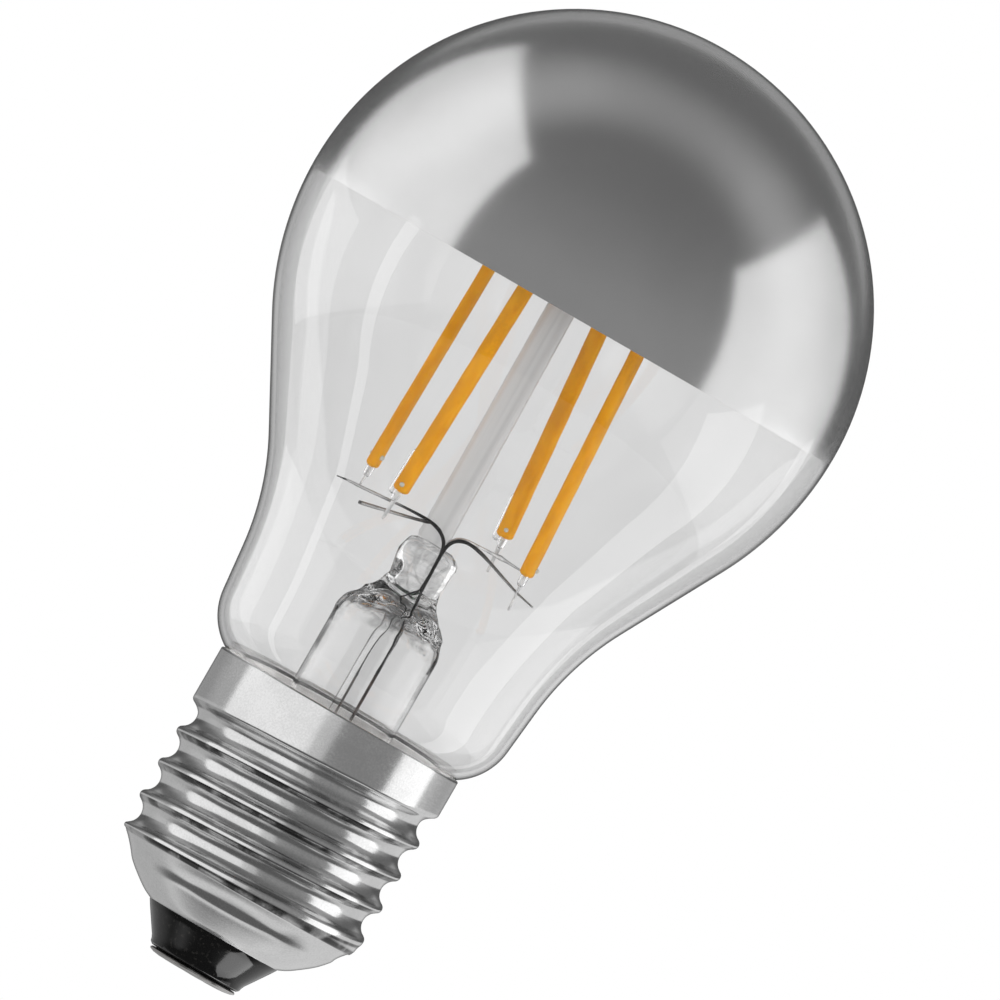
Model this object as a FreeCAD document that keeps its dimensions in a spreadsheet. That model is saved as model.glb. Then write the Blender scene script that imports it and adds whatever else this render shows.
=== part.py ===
import FreeCAD, Part
import math
import os
import re
import Sketcher
from FreeCAD import Placement, Rotation, Vector

# Silver crown filament lamp with a rolled screw cap.
# The origin is the middle of the centre contact's face, and +Z runs up to the crown.
# The mirror on the crown is far thinner in the real lamp than the film that stands for it here.

SIZES = [
    ("fit", 0.03, "gap between faces that seat on each other"),
    ("globe_radius", 29.5, "glass globe, outside"),
    ("globe_height", 75.8, "middle of the globe above the contact"),
    ("glass_wall", 0.6, "blown glass"),
    ("mirror_edge", 75.0, "lower edge of the mirror"),
    ("mirror_film", 0.1, "mirror on the inside of the glass"),
    ("flank_angle", 26.9, "slope of the glass below the globe, from upright"),
    ("flank_length", 15.5, "straight stretch of that slope"),
    ("throat_radius", 24.9, "hollow curve from the flank to the neck"),
    ("neck_angle", 6.3, "slope of the neck, from upright"),
    ("neck_run", 5.65, "straight stretch of the neck"),
    ("shoulder_radius", 6.5, "curve that takes the neck into the cap"),
    ("shoulder_angle", 75, "where that curve meets the seal skirt"),
    ("seal_height", 20, "lower end of the glass, fused to the stem's flare"),
    ("collar_radius", 13.43, "plain band at the top of the cap, outside"),
    ("collar_top", 29.64, "upper edge of the cap"),
    ("collar_foot", 26.2, "where the band steps in to the thread"),
    ("crest_radius", 13.22, "crests of the screw thread"),
    ("sheet", 0.3, "rolled cap sheet"),
    ("dome_top", 9.4, "where the thread ends and the cap curves in"),
    ("dome_radius", 12.5, "curve of the cap's lower end"),
    ("dome_inset", 0.6, "how far that curve starts inside the crests"),
    ("mouth_radius", 7.3, "opening of the cap around the insulator"),
    ("mouth_height", 4.66, "height of that opening"),
    ("thread_pitch", 3.629, "rise of the thread in one turn"),
    ("thread_depth", 1.1, "crest to root"),
    ("root_curve", 1.35, "hollow curve of the groove"),
    ("crest_curve", 0.5, "rounding of the crests beside it"),
    ("groove_height", 24.0, "middle of the groove where it ends, at the right"),
    ("groove_turns", 3.36, "turns from end to end"),
    ("run_out", 0.3, "part of a turn in which the groove dies away"),
    ("insulator_radius", 4.9, "foot of the insulator"),
    ("insulator_foot", 0.66, "underside of the insulator"),
    ("insulator_top", 9.2, "rim of the insulator inside the cap"),
    ("insulator_floor", 7.2, "floor of the cup inside the cap"),
    ("cup_radius", 9.2, "cup in the insulator's upper side"),
    ("contact_radius", 4.6, "centre contact"),
    ("contact_land", 3.2, "flat of the contact"),
    ("eyelet_radius", 1.2, "tube of the contact through the insulator"),
    ("eyelet_bore", 0.7, "hole for the live wire"),
    ("contact_floor", 0.45, "bottom of that hole"),
    ("eyelet_top", 7.6, "upper end of that tube"),
    ("cement_foot", 21.5, "lower end of the basing cement"),
    ("cement_top", 28.7, "upper end of the basing cement"),
    ("stem_radius", 5.75, "glass stem tube, outside"),
    ("stem_wall", 0.8, "glass of the stem tube"),
    ("trumpet_radius", 9.5, "curve of the stem's flared foot"),
    ("trumpet_top", 28.0, "where the flare turns into the tube"),
    ("flare_edge", 0.8, "height of the flare's fused rim"),
    ("stem_shoulder", 39.6, "where the tube starts to close"),
    ("shoulder_curve", 3.9, "curve of the closing tube"),
    ("press_radius", 2.75, "glass where the tube is pinched shut"),
    ("press_height", 43.4, "where the pinch starts"),
    ("press_floor", 41.4, "inside end of the stem tube"),
    ("bead_foot", 44.6, "lower end of the glass bead"),
    ("bead_top", 48.9, "upper face of the bead"),
    ("bead_curve", 5.0, "side of the bead"),
    ("bead_edge", 0.5, "rounding at the bead's top"),
    ("exhaust_radius", 1.6, "exhaust tube, outside"),
    ("exhaust_wall", 0.45, "glass of the exhaust tube"),
    ("exhaust_tip", 19.0, "sealed end of the exhaust tube"),
    ("post_radius", 1.45, "glass post that carries the filaments"),
    ("post_across", -0.67, "foot of the post, to the right"),
    ("post_lean", 0.9, "lean of the post to the left"),
    ("post_length", 6.6, "length of the post beyond that of a filament"),
    ("head_radius", 2.1, "melted head of the post"),
    ("head_height", 3.6, "height of that head"),
    ("filament_length", 37.0, "coated strip between its end tabs"),
    ("filament_width", 1.9, "strip across"),
    ("filament_thickness", 1.5, "strip through"),
    ("filament_edge", 0.9, "rounding of the strip's sides"),
    ("tab_length", 2.4, "metal tab at each end of a filament"),
    ("tab_width", 1.1, "tab where it leaves the strip"),
    ("tab_tip", 0.7, "tab at its end"),
    ("tab_thickness", 0.25, "metal of the tab"),
    ("back_left_across", -9.64, "foot of the back left filament, to the right"),
    ("back_left_depth", 4.3, "the same foot, to the back"),
    ("back_left_foot", 52.3, "lower end of its coating"),
    ("back_left_lean", 0.54, "how far its top lies to the right of its foot"),
    ("back_left_tilt", -0.7, "how far its top lies behind its foot"),
    ("front_left_across", -5.87, "front left filament"),
    ("front_left_depth", -7.8, "its foot, to the back"),
    ("front_left_foot", 51.6, "lower end of its coating"),
    ("front_left_lean", 1.22, "its top to the right of its foot"),
    ("front_left_tilt", 1.0, "its top behind its foot"),
    ("back_right_across", 5.26, "back right filament"),
    ("back_right_depth", 8.0, "its foot, to the back"),
    ("back_right_foot", 52.7, "lower end of its coating"),
    ("back_right_lean", -3.33, "its top to the right of its foot"),
    ("back_right_tilt", -1.4, "its top behind its foot"),
    ("front_right_across", 8.97, "front right filament"),
    ("front_right_depth", -4.2, "its foot, to the back"),
    ("front_right_foot", 50.55, "lower end of its coating"),
    ("front_right_lean", -2.07, "its top to the right of its foot"),
    ("front_right_tilt", 0.8, "its top behind its foot"),
    ("lead_radius", 0.35, "lead wire through the glass and its arm"),
    ("thin_radius", 0.25, "welded side arm"),
    ("tail_radius", 0.25, "copper tail below the weld"),
    ("lead_bend", 1.2, "bend of a lead wire"),
    ("left_lead_across", 0.95, "lead of the left filaments, in front of the post"),
    ("left_lead_depth", -2.0, "the same lead, to the back"),
    ("left_knot", 33.6, "weld between that lead and its tail"),
    ("right_lead_across", -0.5, "lead of the right filaments, behind the post"),
    ("right_lead_depth", 2.1, "the same lead, to the back"),
    ("right_knot", 35.0, "weld between that lead and its tail"),
    ("knot_radius", 0.55, "weld bead"),
    ("arm_height", 1.85, "where the leads bend outwards, above the bead"),
    ("arm_end", 2.0, "how far an arm runs on past its filament"),
    ("tab_clearance", 0.12, "gap between a tab and the wire beside it"),
    ("board_radius", 11.5, "driver board"),
    ("board_height", 14.2, "underside of the driver board"),
    ("board_thickness", 1.0, "driver board"),
    ("capacitor_radius", 2.5, "smoothing capacitor"),
    ("capacitor_length", 5.4, "smoothing capacitor"),
    ("capacitor_across", -5.2, "its place, to the right"),
    ("capacitor_depth", 3.6, "its place, to the back"),
    ("choke_radius", 2.6, "flanges of the drum choke"),
    ("choke_waist", 2.1, "winding of the choke"),
    ("choke_length", 3.6, "height of the choke"),
    ("choke_across", 6.6, "its place, to the right"),
    ("choke_depth", 3.2, "its place, to the back"),
    ("rectifier_size", 4.6, "bridge rectifier, square"),
    ("rectifier_height", 1.7, "bridge rectifier"),
    ("rectifier_across", -6.6, "its place, to the right"),
    ("rectifier_depth", -2.6, "its place, to the back"),
    ("chip_length", 4.9, "driver chip"),
    ("chip_width", 3.9, "driver chip"),
    ("chip_height", 1.4, "driver chip"),
    ("chip_across", 4.2, "its place, to the right"),
    ("chip_depth", -5.4, "its place, to the back"),
    ("leg_reach", 0.9, "legs beside a chip"),
    ("leg_width", 0.5, "one leg"),
    ("leg_thickness", 0.25, "one leg"),
    ("resistor_radius", 1.1, "fusible resistor"),
    ("resistor_length", 5.6, "its body"),
    ("resistor_across", 4.4, "its place, to the right"),
    ("resistor_depth", -3.0, "its place, to the back"),
    ("resistor_drop", 1.9, "axis of the resistor below the board"),
    ("wire_radius", 0.3, "wires from the board to the cap"),
]

doc = FreeCAD.newDocument("silver_crown_lamp")
sheet = doc.addObject("Spreadsheet::Sheet", "sizes")
for row, (alias, value, meaning) in enumerate(SIZES, start=1):
    sheet.set(f"A{row}", meaning)
    sheet.set(f"B{row}", str(value))
    sheet.setAlias(f"B{row}", alias)
doc.recompute()

ALIASES = {alias for alias, value, meaning in SIZES}
nodes = []


def full(text):
    """The expression with the sheet's name before each of its aliases."""
    return re.sub(r"[a-z][a-z_]+", lambda m: f"sizes.{m[0]}" if m[0] in ALIASES else m[0], text)


def number(text):
    """The value of an expression on the sheet, in millimetres or degrees."""
    value = sheet.evalExpression(full(text))
    return float(getattr(value, "Value", value))


def bind(item, **expressions):
    """Ties properties to expressions on the sheet; a double underscore stands for a dot."""
    for name, text in expressions.items():
        item.setExpression(name.replace("__", "."), full(text))


def put(item, across="0", depth="0", height="0"):
    """Ties the place of an item to the sheet."""
    bind(item, Placement__Base__x=across, Placement__Base__y=depth, Placement__Base__z=height)


def node(item, name):
    """Names a finished piece, which is written to a file of that name."""
    item.Label = name
    nodes.append(item)
    return item


def plane_sketch(body, name, role):
    plane = next(item for item in body.Origin.OriginFeatures if item.Role == role)
    sketch = body.newObject("Sketcher::SketchObject", name)
    sketch.AttachmentSupport = (plane, [""])
    sketch.MapMode = "FlatFace"
    return sketch


def arc_between(start, end, radius, side):
    """The short arc from start to end; side is 1 where it bulges to the left of the way."""
    half = (end - start) / 2
    rise = radius - math.sqrt(radius**2 - half.Length**2)
    left = Vector(-half.y, half.x, 0).normalize()
    return Part.Arc(start, start + half + left * rise * side, end)


def outline(sketch, corners):
    """A closed outline. Each corner is (across, up) as expressions, and a corner with a radius
    and a side as well starts an arc."""
    points = [Vector(number(corner[0]), number(corner[1]), 0) for corner in corners]
    for index, corner in enumerate(corners):
        start = points[index]
        end = points[(index + 1) % len(points)]
        if len(corner) > 2:
            sketch.addGeometry(arc_between(start, end, number(corner[2]), corner[3]))
        else:
            sketch.addGeometry(Part.LineSegment(start, end))

    def end_at(geometry, point):
        """The end of a line or arc that lies at a point: 1 is its start and 2 its end."""
        return min((1, 2), key=lambda end: sketch.getPoint(geometry, end).distanceToPoint(point))

    rules = []
    sources = []
    for index, corner in enumerate(corners):
        point = points[index]
        before = (index - 1) % len(points)
        here = (index, end_at(index, point))
        rules.append(Sketcher.Constraint("Coincident", before, end_at(before, point), *here))
        sources.append(None)
        for kind, axis, source, value in (("DistanceX", -2, corner[0], point.x),
                                          ("DistanceY", -1, corner[1], point.y)):
            if source == "0":
                rules.append(Sketcher.Constraint("PointOnObject", *here, axis))
                sources.append(None)
            else:
                rules.append(Sketcher.Constraint(kind, -1, 1, *here, value))
                sources.append(source)
        if len(corner) > 2:
            rules.append(Sketcher.Constraint("Radius", index, number(corner[2])))
            sources.append(corner[2])
    sketch.addConstraint(rules)
    for index, source in enumerate(sources):
        if source:
            sketch.setExpression(f"Constraints[{index}]", full(source))


def turned(name, corners):
    """A body turned about Z from half of its section."""
    body = doc.addObject("PartDesign::Body", name)
    sketch = plane_sketch(body, name + "_section", "XZ_Plane")
    outline(sketch, corners)
    turn = body.newObject("PartDesign::Revolution", name + "_turn")
    turn.Profile = sketch
    turn.ReferenceAxis = (sketch, ["V_Axis"])
    turn.Angle = 360
    return body


def plate(name, corners, thickness, role="XY_Plane", both_sides=False):
    """A body padded from a flat outline."""
    body = doc.addObject("PartDesign::Body", name)
    sketch = plane_sketch(body, name + "_outline", role)
    outline(sketch, corners)
    pad = body.newObject("PartDesign::Pad", name + "_pad")
    pad.Profile = sketch
    pad.Midplane = both_sides
    bind(pad, Length=thickness)
    return body


def cylinder(name, radius, length, across="0", depth="0", height="0"):
    item = doc.addObject("Part::Cylinder", name)
    bind(item, Radius=radius, Height=length)
    put(item, across, depth, height)
    return item


def block(name, length, width, tall, across, depth, height):
    """A box about the upright line through its place."""
    item = doc.addObject("Part::Box", name)
    bind(item, Length=length, Width=width, Height=tall)
    put(item, f"{across} - ({length}) / 2", f"{depth} - ({width}) / 2", height)
    return item


def joined(name, kind, items):
    item = doc.addObject(kind, name)
    if kind == "Part::Compound":
        item.Links = items
    else:
        item.Shapes = items
    return item


def cut(name, base, tool):
    item = doc.addObject("Part::Cut", name)
    item.Base = base
    item.Tool = tool
    return item


def route(points, bend):
    """A wire of straight runs joined by tangent arcs."""
    edges = []
    here = points[0]
    for before, corner, after in zip(points, points[1:], points[2:]):
        back = (before - corner).normalize()
        ahead = (after - corner).normalize()
        half = back.getAngle(ahead) / 2
        room = 0.45 * min(before.distanceToPoint(corner), after.distanceToPoint(corner))
        reach = min(bend / math.tan(half), room)
        radius = reach * math.tan(half)
        first = corner + back * reach
        last = corner + ahead * reach
        middle = (back + ahead).normalize()
        nearest = corner + middle * (radius / math.sin(half) - radius)
        edges.append(Part.LineSegment(here, first).toShape())
        edges.append(Part.Arc(first, nearest, last).toShape())
        here = last
    edges.append(Part.LineSegment(here, points[-1]).toShape())
    return Part.Wire(edges)


def wire(name, points, radius, bend="lead_bend"):
    """A round wire along a bent route."""
    path = route(points, number(bend))
    section = Part.Circle(points[0], points[1] - points[0], number(radius)).toShape()
    pipe = path.makePipe(Part.Face(Part.Wire(section)))
    item = doc.addObject("Part::Feature", name)
    item.Shape = pipe
    return item


# The blown glass. Its outline runs from the crown down the outside and back up inside.
throat_in = "(globe_radius + throat_radius) * cos(flank_angle) - flank_length * sin(flank_angle)"
throat_up = "globe_height - (globe_radius + throat_radius) * sin(flank_angle)" \
            " - flank_length * cos(flank_angle)"
shoulder_in = f"({throat_in} - (throat_radius + shoulder_radius) * cos(neck_angle)" \
              " - neck_run * sin(neck_angle))"
shoulder_up = f"({throat_up} + (throat_radius + shoulder_radius) * sin(neck_angle)" \
              " - neck_run * cos(neck_angle))"
neck_radius = f"({shoulder_in} + shoulder_radius * cos(shoulder_angle))"


def glass_side(wall):
    """The glass from crown to seal, as far inside its outside as the wall: its corners, and for
    each the radius of the arc that leaves it."""
    globe = f"(globe_radius - {wall})"
    throat = f"(throat_radius + {wall})"
    shoulder = f"(shoulder_radius - {wall})"
    skirt = f"({neck_radius} - {wall})"
    corners = [
        ("0", f"globe_height + {globe}"),
        (f"{globe} * cos(flank_angle)", f"globe_height - {globe} * sin(flank_angle)"),
        (f"{throat_in} - {throat} * cos(flank_angle)", f"{throat_up} + {throat} * sin(flank_angle)"),
        (f"{throat_in} - {throat} * cos(neck_angle)", f"{throat_up} + {throat} * sin(neck_angle)"),
        (f"{shoulder_in} + {shoulder} * cos(neck_angle)",
         f"{shoulder_up} - {shoulder} * sin(neck_angle)"),
        (skirt, f"{shoulder_up} - sqrt({shoulder}^2 - ({skirt} - {shoulder_in})^2)"),
        (skirt, "seal_height"),
    ]
    return corners, [(globe, 1), None, (throat, -1), None, (shoulder, 1), None]


outside, outside_arcs = glass_side("0")
inside, inside_arcs = glass_side("glass_wall")
down = [corner + (arc or ()) for corner, arc in zip(outside, outside_arcs)]
up = [corner + ((arc[0], -arc[1]) if arc else ()) for corner, arc in zip(inside[1:], inside_arcs)]
node(turned("bulb", down + outside[-1:] + up[::-1] + inside[:1]), "glass_bulb")

# The mirror lies on the inside of the glass, from the crown to just below the widest part.
film_out = "(globe_radius - glass_wall - fit)"
film_in = f"({film_out} - mirror_film)"
film_drop = "(mirror_edge - globe_height)"
node(turned("film", [
    ("0", f"globe_height + {film_out}", film_out, 1),
    (f"sqrt({film_out}^2 - {film_drop}^2)", "mirror_edge"),
    (f"sqrt({film_in}^2 - {film_drop}^2)", "mirror_edge", film_in, -1),
    ("0", f"globe_height + {film_in}"),
]), "crown_mirror")

# The glass stem: a flared tube, closed at its top where the lead wires pass through the pinch,
# with the bead that carries the post.
rim = f"({neck_radius} - glass_wall - fit)"
stem = turned("stem", [
    (rim, "seal_height"),
    (rim, "seal_height + flare_edge", "trumpet_radius", -1),
    ("stem_radius", "trumpet_top"),
    ("stem_radius", "stem_shoulder", "shoulder_curve", -1),
    ("press_radius", "press_height"),
    ("press_radius", "bead_foot", "bead_curve", -1),
    ("press_radius", "bead_top - bead_edge", "bead_edge", -1),
    ("press_radius - bead_edge", "bead_top"),
    ("0", "bead_top"),
    ("0", "press_floor"),
    ("stem_radius - 2 * stem_wall", "press_floor", "2 * stem_wall", 1),
    ("stem_radius - stem_wall", "stem_shoulder"),
    ("stem_radius - stem_wall", "trumpet_top", "trumpet_radius + stem_wall", 1),
    (f"{rim} - stem_wall", "seal_height"),
])
lead_holes = [
    cylinder(f"{hand}_lead_hole", "lead_radius + fit", "bead_top", f"{hand}_lead_across",
             f"{hand}_lead_depth", "stem_shoulder - stem_wall")
    for hand in ("left", "right")]
node(cut("pierced_stem", stem, joined("lead_holes", "Part::MultiFuse", lead_holes)), "stem_flare")

# The tube that the lamp was pumped out through, sealed at its lower end.
node(turned("exhaust", [
    ("0", "exhaust_tip", "exhaust_radius", 1),
    ("exhaust_radius", "exhaust_tip + exhaust_radius"),
    ("exhaust_radius", "press_floor - fit"),
    ("exhaust_radius - exhaust_wall", "press_floor - fit"),
    ("exhaust_radius - exhaust_wall", "exhaust_tip + exhaust_radius"),
    ("0", "exhaust_tip + exhaust_radius"),
]), "exhaust_tube")

# The filaments: coated strips with a tapered metal tab at each end, leaning in to the top.
strip_flat = "(filament_width / 2 - filament_edge + sqrt(filament_edge^2 - filament_thickness^2 / 4))"
strip = [
    (f"-{strip_flat}", "-filament_thickness / 2"),
    (strip_flat, "-filament_thickness / 2", "filament_edge", -1),
    (strip_flat, "filament_thickness / 2"),
    (f"-{strip_flat}", "filament_thickness / 2", "filament_edge", -1),
]
low_tab = [
    ("-tab_width / 2", "-fit"),
    ("-tab_tip / 2", "-tab_length"),
    ("tab_tip / 2", "-tab_length"),
    ("tab_width / 2", "-fit"),
]
high_tab = [(across, f"filament_length - ({up})") for across, up in low_tab]


def filament_places(name):
    """The foot of a filament, the way up it, and its sideways direction."""
    foot = Vector(number(f"{name}_across"), number(f"{name}_depth"), number(f"{name}_foot"))
    lean = Vector(number(f"{name}_lean"), number(f"{name}_tilt"), 0)
    up = lean + Vector(0, 0, math.sqrt(number("filament_length")**2 - lean.Length**2))
    out = Vector(foot.x, foot.y, 0).normalize()
    return foot, up.normalize(), Vector(-out.y, out.x, 0)


PLACES = ("back_left", "front_left", "back_right", "front_right")
for name in PLACES:
    foot, up, aside = filament_places(name)
    stance = Placement(foot, Rotation(aside.cross(up), aside, up, "ZXY"))
    coat = plate(f"{name}_strip", strip, "filament_length")
    coat.Placement = stance
    node(coat, f"filament_{name}")
    tabs = []
    for end, corners in (("low", low_tab), ("high", high_tab)):
        tab = plate(f"{name}_{end}", corners, "tab_thickness", "XZ_Plane", True)
        tab.Placement = stance
        tabs.append(tab)
    node(joined(f"{name}_tabs", "Part::Compound", tabs), f"tabs_{name}")


def beside_tab(name, radius, end="low"):
    """The point where a wire is welded to the side of a filament's tab."""
    foot, up, aside = filament_places(name)
    along = -0.75 * number("tab_length")
    if end == "high":
        along = number("filament_length") - along
    return foot + up * along + aside * (number("tab_thickness / 2 + tab_clearance") + radius)


def past(point, name):
    """The end of an arm, beyond the filament that it carries."""
    out = Vector(point.x, point.y, 0).normalize()
    return point + out * number("arm_end") - Vector(0, 0, 0.1 * number("arm_end"))


# The lead wires. Each rises through the pinch, bends out as the arm of one filament, and
# carries a thinner arm that is welded on for the other.
lead = number("lead_radius")
thin = number("thin_radius")
arm = number("bead_top + arm_height")
arm_ends = {"left": ("back_left", "front_left"), "right": ("front_right", "back_right")}
for hand, (far, near) in arm_ends.items():
    across = number(f"{hand}_lead_across")
    depth = number(f"{hand}_lead_depth")
    knot = number(f"{hand}_knot")
    towards = -1 if hand == "left" else 1
    corner = Vector(across, depth, arm)
    branch = corner + Vector(3.4 * towards, 0.25 * depth, 0)
    far_weld = beside_tab(far, lead)
    run = wire(f"{hand}_run", [Vector(across, depth, knot), corner, branch, far_weld,
                               past(far_weld, far)], "lead_radius")
    weld = doc.addObject("Part::Sphere", f"{hand}_weld")
    bind(weld, Radius="knot_radius")
    put(weld, f"{hand}_lead_across", f"{hand}_lead_depth", f"{hand}_knot")
    node(joined(f"{hand}_lead", "Part::MultiFuse", [run, weld]), f"lead_{hand}")
    near_weld = beside_tab(near, thin)
    start = branch + (corner - branch) * 0.3 - Vector(0, 0, lead + thin + number("fit"))
    node(wire(f"{hand}_side", [start, branch - Vector(0, 0, lead + thin + number("fit")),
                               near_weld, past(near_weld, near)], "thin_radius"), f"arm_{hand}")
    node(cylinder(f"{hand}_tail", "tail_radius",
                  f"{hand}_knot - knot_radius - 2 * fit - board_height - board_thickness",
                  f"{hand}_lead_across", f"{hand}_lead_depth",
                  "board_height + board_thickness + fit"), f"tail_{hand}")

# Two straight wires through the post's head join the filaments' tops in pairs.
top_wires = []
for index, (one, other) in enumerate((("back_left", "front_right"), ("front_left", "back_right"))):
    first = beside_tab(one, thin, "high")
    last = beside_tab(other, thin, "high")
    over = (last - first).normalize() * 0.8
    top = doc.addObject("Part::Cylinder", f"top_{index}")
    bind(top, Radius="thin_radius")
    top.Height = (last - first).Length + 2 * over.Length
    top.Placement = Placement(first - over, Rotation(Vector(0, 0, 1), last - first))
    node(top, f"top_wire_{index + 1}")
    hole = doc.addObject("Part::Cylinder", f"top_hole_{index}")
    bind(hole, Radius="thin_radius + fit")
    hole.Height = top.Height
    hole.Placement = top.Placement
    top_wires.append(hole)

# The glass post with its melted head, standing on the bead.
head_top = "(filament_length + post_length)"
post = turned("post", [
    ("0", "0"),
    ("post_radius", "0"),
    ("post_radius", f"{head_top} - head_height", "head_radius", -1),
    ("post_radius", f"{head_top} - head_height * 0.2"),
    ("post_radius * 0.6", head_top),
    ("0", head_top),
])
put(post, "post_across", "0", "bead_top + fit")
post.Placement.Rotation = Rotation(Vector(0, 1, 0), -number("post_lean"))
node(cut("pierced_post", post, joined("top_holes", "Part::MultiFuse", top_wires)), "centre_post")

# The rolled cap: a plain band, the thread and the curved end around the insulator.
root = "(crest_radius - thread_depth - sheet)"
step = "(collar_radius - crest_radius)"
cap = turned("cap", [
    ("collar_radius", "collar_top"),
    ("collar_radius - sheet", "collar_top"),
    ("collar_radius - sheet", "collar_foot + sheet"),
    (root, f"collar_foot + sheet + {root} - collar_radius"),
    (root, "dome_top + sheet", "dome_radius - sheet", 1),
    ("mouth_radius", "mouth_height + sheet * 1.3"),
    ("mouth_radius", "mouth_height", "dome_radius", -1),
    ("crest_radius - dome_inset", "dome_top"),
    ("crest_radius", "dome_top + dome_inset"),
    ("crest_radius", f"collar_foot - {step}"),
    ("collar_radius", "collar_foot"),
])


def groove_section():
    """The groove across its run: how far in from the crests, and up, from one lip to the other."""
    depth = number("thread_depth")
    hollow = number("root_curve")
    lip = number("crest_curve")
    between = hollow + lip
    proud = 0.05 * lip
    reach = math.sqrt(between**2 - (between - depth - proud)**2)
    slope = math.asin(reach / between)
    half = []
    for share in (0.25, 0.65, 1):
        half.append((depth - hollow * (1 - math.cos(slope * share)), hollow * math.sin(slope * share)))
    for share in (0.5, 0.9):
        lean = slope * (1 - share)
        half.append((lip * (1 - math.cos(lean)) - proud, reach - lip * math.sin(lean)))
    half.append((-0.3 * depth, half[-1][1] + 0.1 * lip))
    return [(inward, -up) for inward, up in reversed(half)] + half


def groove_edge(inward, up):
    """One edge along the groove: a helix that swings clear of the cap at both ends."""
    turns = number("groove_turns")
    fade = number("run_out")
    clear = number("thread_depth") * 1.3
    count = round(turns * 12)
    points = []
    for index in range(count + 1):
        turn = -turns * (1 - index / count)
        gone = max(turn + fade, fade - turns - turn, 0) / fade
        radius = number("crest_radius") - inward + clear * gone**2 * (3 - 2 * gone)
        angle = 2 * math.pi * turn
        points.append(Vector(radius * math.cos(angle), radius * math.sin(angle),
                             number("groove_height") + number("thread_pitch") * turn + up))
    curve = Part.BSplineCurve()
    curve.interpolate(points)
    return curve.toShape()


def groove():
    """The groove as a solid: strips between helices, closed by a flat face at each end."""
    edges = [groove_edge(inward, up) for inward, up in groove_section()]
    faces = [Part.makeRuledSurface(first, second) for first, second in zip(edges, edges[1:])]
    faces.append(Part.makeRuledSurface(edges[-1], edges[0]))
    for end in (0, -1):
        corners = [edge.Vertexes[end].Point for edge in edges]
        faces.append(Part.Face(Part.makePolygon(corners + corners[:1])))
    shell = Part.Shell(faces)
    shell.sewShape()
    solid = Part.Solid(shell)
    if solid.Volume < 0:
        solid.reverse()
    return solid


thread = doc.addObject("Part::Feature", "thread_groove")
thread.Shape = groove()
node(cut("threaded_cap", cap, thread), "screw_sleeve")

# The insulator fills the cap's lower end, and the contact is riveted through it.
node(turned("glass_insulator", [
    ("insulator_radius", "insulator_foot"),
    ("insulator_radius + 0.2", "insulator_foot + 0.4"),
    ("mouth_radius - fit", "mouth_height - fit"),
    ("mouth_radius - fit", "mouth_height + sheet * 1.3 + fit", "dome_radius - sheet - fit", -1),
    (f"{root} - fit", "dome_top + sheet"),
    (f"{root} - fit", "insulator_top + sheet + 0.4"),
    ("cup_radius", "insulator_top + sheet + 0.4"),
    ("cup_radius - 0.6", "insulator_floor"),
    ("eyelet_radius + fit", "insulator_floor"),
    ("eyelet_radius + fit", "insulator_foot"),
]), "insulator")
node(turned("rivet", [
    ("0", "0"),
    ("contact_land", "0"),
    ("contact_radius", "insulator_foot * 0.6"),
    ("contact_radius", "insulator_foot - fit"),
    ("eyelet_radius", "insulator_foot - fit"),
    ("eyelet_radius", "eyelet_top"),
    ("eyelet_bore", "eyelet_top"),
    ("eyelet_bore", "contact_floor"),
    ("0", "contact_floor"),
]), "centre_contact")

# The cement that holds the glass in the cap.
node(turned("cement", [
    (f"{neck_radius} + fit", "cement_foot"),
    (f"{root} - fit", "cement_foot"),
    (f"{root} - fit", f"collar_foot + sheet + {root} - collar_radius"),
    ("collar_radius - sheet - fit", "collar_foot + sheet"),
    ("collar_radius - sheet - fit", "cement_top"),
    (f"{neck_radius} + fit", "cement_top"),
]), "basing_cement")

# The driver board and its components.
board_top = "board_height + board_thickness"
disc = cylinder("board_disc", "board_radius", "board_thickness", height="board_height")
wire_hole = cylinder("wire_hole", "wire_radius + fit", "3 * board_thickness", "0", "0",
                     "board_height - board_thickness")
node(cut("drilled_board", disc, wire_hole), "driver_board")

can = turned("can", [
    ("0", "0"),
    ("capacitor_radius", "0"),
    ("capacitor_radius", "capacitor_length - 1.2"),
    ("capacitor_radius - 0.25", "capacitor_length - 0.9"),
    ("capacitor_radius", "capacitor_length - 0.6"),
    ("capacitor_radius", "capacitor_length"),
    ("0", "capacitor_length"),
])
put(can, "capacitor_across", "capacitor_depth", "board_height - capacitor_length - fit")
node(can, "capacitor")

drum = turned("drum", [
    ("0", "0"),
    ("choke_radius", "0"),
    ("choke_radius", "0.5"),
    ("choke_waist", "0.7"),
    ("choke_waist", "choke_length - 0.7"),
    ("choke_radius", "choke_length - 0.5"),
    ("choke_radius", "choke_length"),
    ("0", "choke_length"),
])
put(drum, "choke_across", "choke_depth", f"{board_top} + fit")
node(drum, "choke")


def chip(name, length, width, tall, across, depth, pairs):
    """A moulded chip with flat legs along two of its sides."""
    pieces = [block(f"{name}_case", length, width, tall, across, depth, f"{board_top} + leg_thickness")]
    for index in range(pairs):
        share = (index + 0.5) / pairs - 0.5
        pieces.append(block(f"{name}_leg_{index}", "leg_width", f"{width} + 2 * leg_reach",
                            "leg_thickness", f"{across} + ({length}) * {share}", depth,
                            f"{board_top} + fit"))
    return joined(name, "Part::MultiFuse", pieces)


node(chip("bridge", "rectifier_size", "rectifier_size", "rectifier_height", "rectifier_across",
          "rectifier_depth", 2), "rectifier")
node(chip("chip", "chip_length", "chip_width", "chip_height", "chip_across", "chip_depth", 4),
     "driver_chip")

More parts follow.
